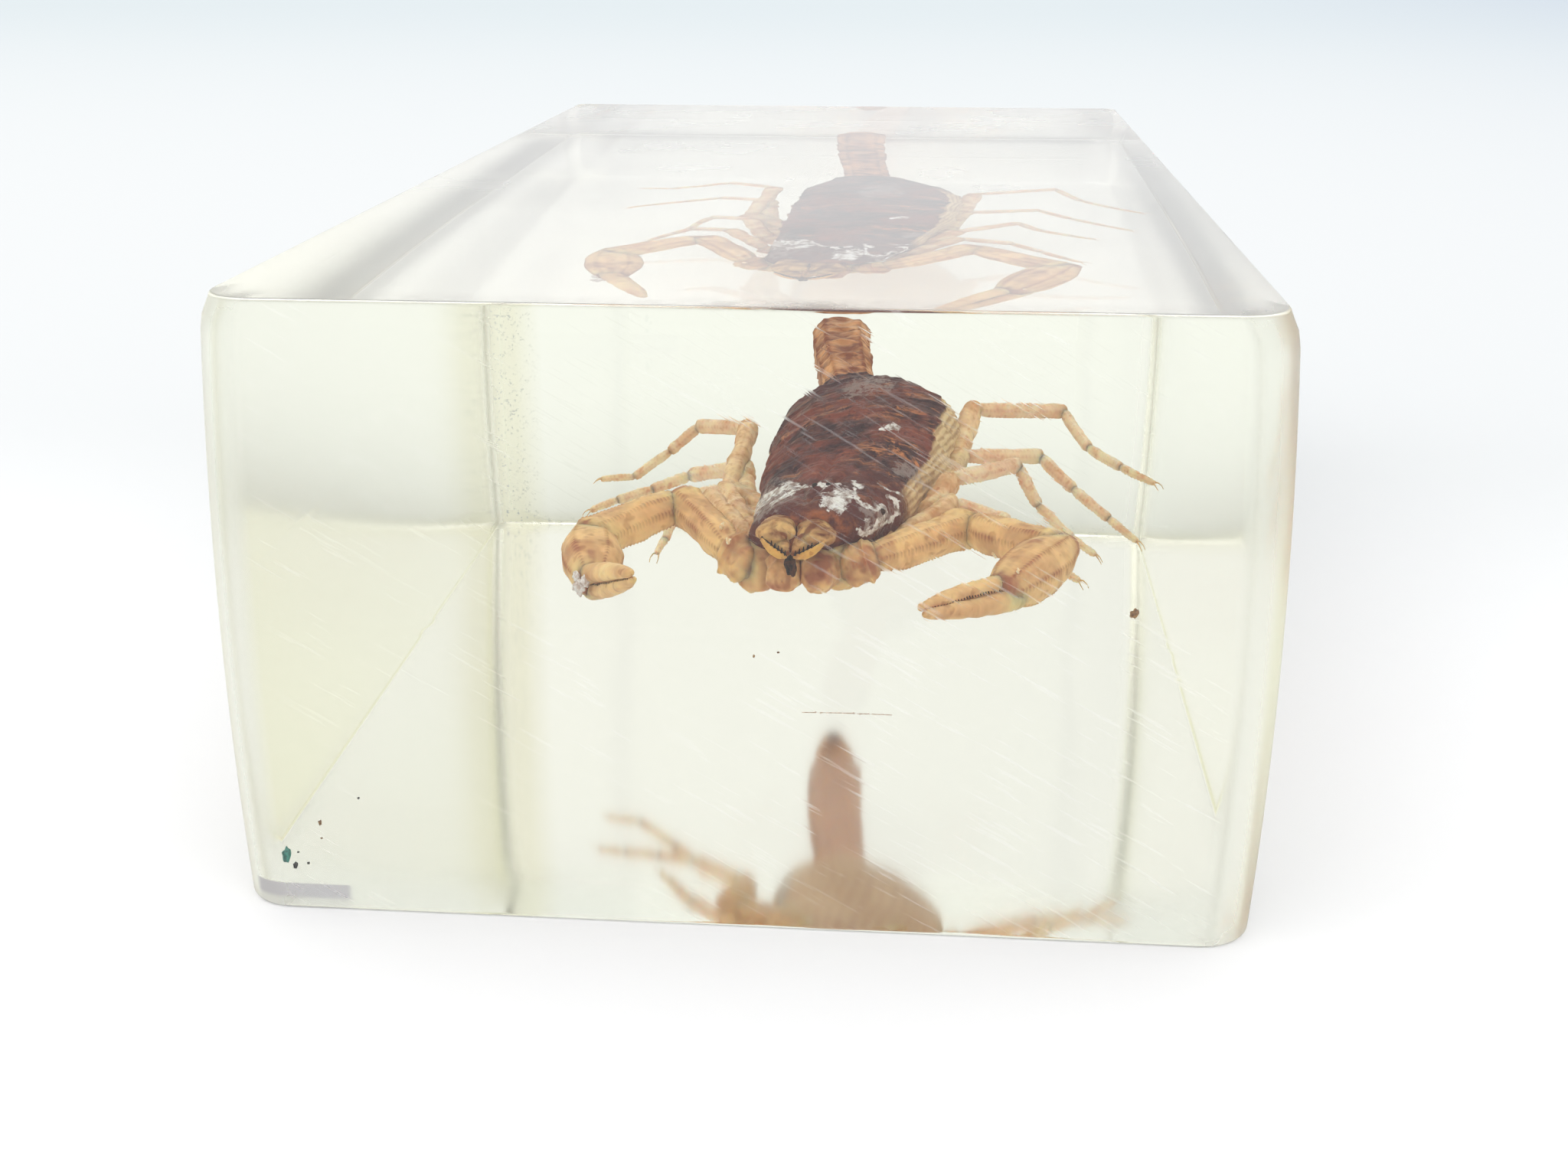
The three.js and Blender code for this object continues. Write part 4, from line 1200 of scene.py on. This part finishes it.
class SPECIMEN_OT_mouth(Maker):
    """Adds the mouth's pincers"""

    bl_idname = "specimen.mouth"
    bl_label = "Mouth"

    def make(self, size, look):
        hands, fingers, dark, plates = mouth_forms()
        golden = shell("mouth_shell", (0.84, 0.54, 0.22), (0.20, 0.06, 0.02), flesh=0.4, mottle=0.7)
        orange = shell("finger_shell", (0.86, 0.44, 0.12), look.brown, 1100.0, flesh=0.4, mottle=0.4)
        build("mouth_hands", hands, golden)
        build("mouth_fingers", fingers, orange)
        # Painted shade: a dark lump fills the mouth hole between the fingers.
        dark.append(blob(MOUTH_HOLE_SHADE, (0.27, 0.24, 0.52), 9, lumps=0.4))
        build("mouth_teeth_and_hole_shade", dark, dark_shell())
        build("root_plates", plates, amber_shell(look))


class SPECIMEN_OT_inclusions(Maker):
    """Adds the grains caught in the resin"""

    bl_idname = "specimen.inclusions"
    bl_label = "Inclusions"

    def make(self, size, look):
        for name, light, dark, places in INCLUSIONS:
            grains = [blob(place, np.array([1, 0.5, tall]) * wide, k + 3, lumps=0.5)
                      for k, (place, wide, tall) in enumerate(places)]
            build(name, grains, speck_finish(name, light, dark))
        brown = speck_finish("resin_hair", (0.74, 0.60, 0.50), (0.52, 0.36, 0.26))
        build("resin_hair", [tube(HAIR, (0, 0, 1), 8, 24)], brown)
        # Painted glints and painted reflection: bright blobs for the light off air bubbles on the arms
        # and off the air film on the left hand.
        for name, light, dark, places in (
                ("painted_air_glints", (1.0, 0.94, 0.72), (0.95, 0.66, 0.34), PAINTED_GLINTS),
                ("hand_film_reflection", (0.86, 0.83, 0.80), (0.62, 0.50, 0.44), HAND_FILM_REFLECTION)):
            flakes = [blob(place, np.array([0.8, 0.6, 1.1]) * wide, k + 40, lumps=0.7)
                      for k, (place, wide) in enumerate(places)]
            build(name, flakes, speck_finish(name, light, dark))


def paper_finish():
    """Pale matt paper. Painted shade darkens it backwards and to the right, and a painted glow lights it
    a little under the block.
    """
    material, tree, surface = shader("floor_paper")
    where, x, y, _ = position(tree)
    tone = mix(tree, texture(tree, 6.0, where, 3.0), PAPER, PAPER_MOTTLE)
    # Painted shade: the paper darkens behind the block, far back and to the right.
    tone = mix(tree, span(tree, y, -0.03, 0.04), tone, PAPER_BACK_SHADE)
    tone = mix(tree, span(tree, y, 0.05, 0.8), tone, PAPER_FAR_SHADE)
    tone = mix(tree, span(tree, x, 0.015, 0.6, 0.0, 0.75), tone, PAPER_RIGHT_SHADE)
    # Painted light: brighter paper with a painted glow under the block, for the light let through it.
    across = times(tree, calc(tree, "ABSOLUTE", x), 1.85)
    close = calc(tree, "MAXIMUM", across, calc(tree, "ABSOLUTE", y))
    close = span(tree, close, 34.5 * MM, 37.5 * MM, 1.0, 0.0)
    tree.links.new(mix(tree, close, tone, PAPER_UNDER_PAINTED_LIGHT), surface.inputs["Base Color"])
    tree.links.new(mix(tree, close, (0.0, 0.0, 0.0), PAINTED_GLOW), surface.inputs["Emission Color"])
    surface.inputs["Emission Strength"].default_value = 1.0
    surface.inputs["Roughness"].default_value = 0.9
    return material


def room_light(daylight):
    """A white room, brightest overhead, slightly cooler to the right."""
    world = bpy.data.worlds.new("studio")
    world.use_nodes = True
    tree = world.node_tree
    where = add(tree, "ShaderNodeTexCoord").outputs["Generated"]
    x, y, z = add(tree, "ShaderNodeSeparateXYZ", {0: where}).outputs
    up = calc(tree, "SUBTRACT", z, span(tree, y, 0.0, 0.6, 0.0, 0.25))
    sky = mix(tree, span(tree, up, 0.25, 0.7), SKY_LOW, SKY_HIGH)
    sky = mix(tree, span(tree, x, -0.8, 0.8), sky, SKY_RIGHT, "MULTIPLY")
    aside = span(tree, calc(tree, "ABSOLUTE", x), 0.2, 0.5)
    aside = times(tree, aside, span(tree, y, 0.0, 0.4))
    aside = times(tree, aside, span(tree, z, 0.45, 0.7, 1.0, 0.0))
    background = tree.nodes["Background"]
    tree.links.new(mix(tree, aside, sky, SKY_ASIDE), background.inputs["Color"])
    background.inputs["Strength"].default_value = daylight
    return world


def studio_camera(lens):
    """The camera, which looks down on the block a little, from its front and slightly from the right."""
    data = bpy.data.cameras.new("camera")
    data.lens, data.sensor_width = lens, 36
    data.clip_start, data.clip_end = 0.005, 20
    camera = bpy.data.objects.new("camera", data)
    rows = zip(CAMERA_RIGHT, CAMERA_UP, CAMERA_AHEAD, CAMERA_PLACE)
    camera.matrix_world = Matrix([(r, u, -a, p) for r, u, a, p in rows] + [(0, 0, 0, 1)])
    return camera


class SPECIMEN_OT_stage(bpy.types.Operator):
    """Adds the pale floor, the soft light and the camera"""

    bl_idname = "specimen.stage"
    bl_label = "Stage"

    def execute(self, context):
        scene = context.scene
        stage = scene.specimen_stage
        mesh = bpy.data.meshes.new("floor")
        corners = np.array([[-1, -1, 0], [1, -1, 0], [1, 1, 0], [-1, 1, 0]]) * FLOOR_HALF
        mesh.from_pydata((corners + [0, 0, FLOOR_LEVEL]).tolist(), [], [(0, 1, 2, 3)])
        mesh.materials.append(paper_finish())
        floor = bpy.data.objects.new("floor", mesh)
        scene.collection.objects.link(floor)
        scene.world = room_light(stage.daylight)
        lamp = bpy.data.lights.new("soft_lamp", "AREA")
        lamp.shape, lamp.size, lamp.size_y, lamp.energy = "RECTANGLE", 0.5, 0.4, stage.lamp
        light = bpy.data.objects.new("soft_lamp", lamp)
        light.location = LAMP_PLACE
        light.rotation_euler = (0, math.radians(-45), 0)
        scene.collection.objects.link(light)
        scene.camera = studio_camera(stage.lens)
        scene.collection.objects.link(scene.camera)
        scene.view_settings.view_transform = "Standard"
        return {"FINISHED"}


class VIEW3D_PT_specimen(bpy.types.Panel):
    """Lists the specimen's values and pieces."""

    bl_label = "Scorpion in Resin Block"
    bl_space_type = "VIEW_3D"
    bl_region_type = "UI"
    bl_category = "Specimen"

    def draw(self, context):
        scene = context.scene
        for group in (scene.specimen_block, scene.specimen_finishes, scene.specimen_stage):
            for name in group.__annotations__:
                self.layout.prop(group, name)
        for maker in MAKERS:
            self.layout.operator(maker.bl_idname)


GROUPS = {"specimen_block": BlockSizes, "specimen_finishes": Finishes, "specimen_stage": StageValues}
MAKERS = (SPECIMEN_OT_stage, SPECIMEN_OT_block, SPECIMEN_OT_body, SPECIMEN_OT_tail, SPECIMEN_OT_legs,
          SPECIMEN_OT_arms, SPECIMEN_OT_mouth, SPECIMEN_OT_inclusions)


def register():
    """Registers the values, the operators and the panel."""
    for name, group in GROUPS.items():
        bpy.utils.register_class(group)
        setattr(bpy.types.Scene, name, bpy.props.PointerProperty(type=group))
    for cls in (*MAKERS, VIEW3D_PT_specimen):
        bpy.utils.register_class(cls)


def unregister():
    """Removes what register added."""
    for cls in (VIEW3D_PT_specimen, *reversed(MAKERS)):
        bpy.utils.unregister_class(cls)
    for name, group in GROUPS.items():
        delattr(bpy.types.Scene, name)
        bpy.utils.unregister_class(group)


def main():
    register()
    for maker in MAKERS:
        getattr(bpy.ops.specimen, maker.bl_idname.split(".")[1])()


if __name__ == "__main__":
    main()
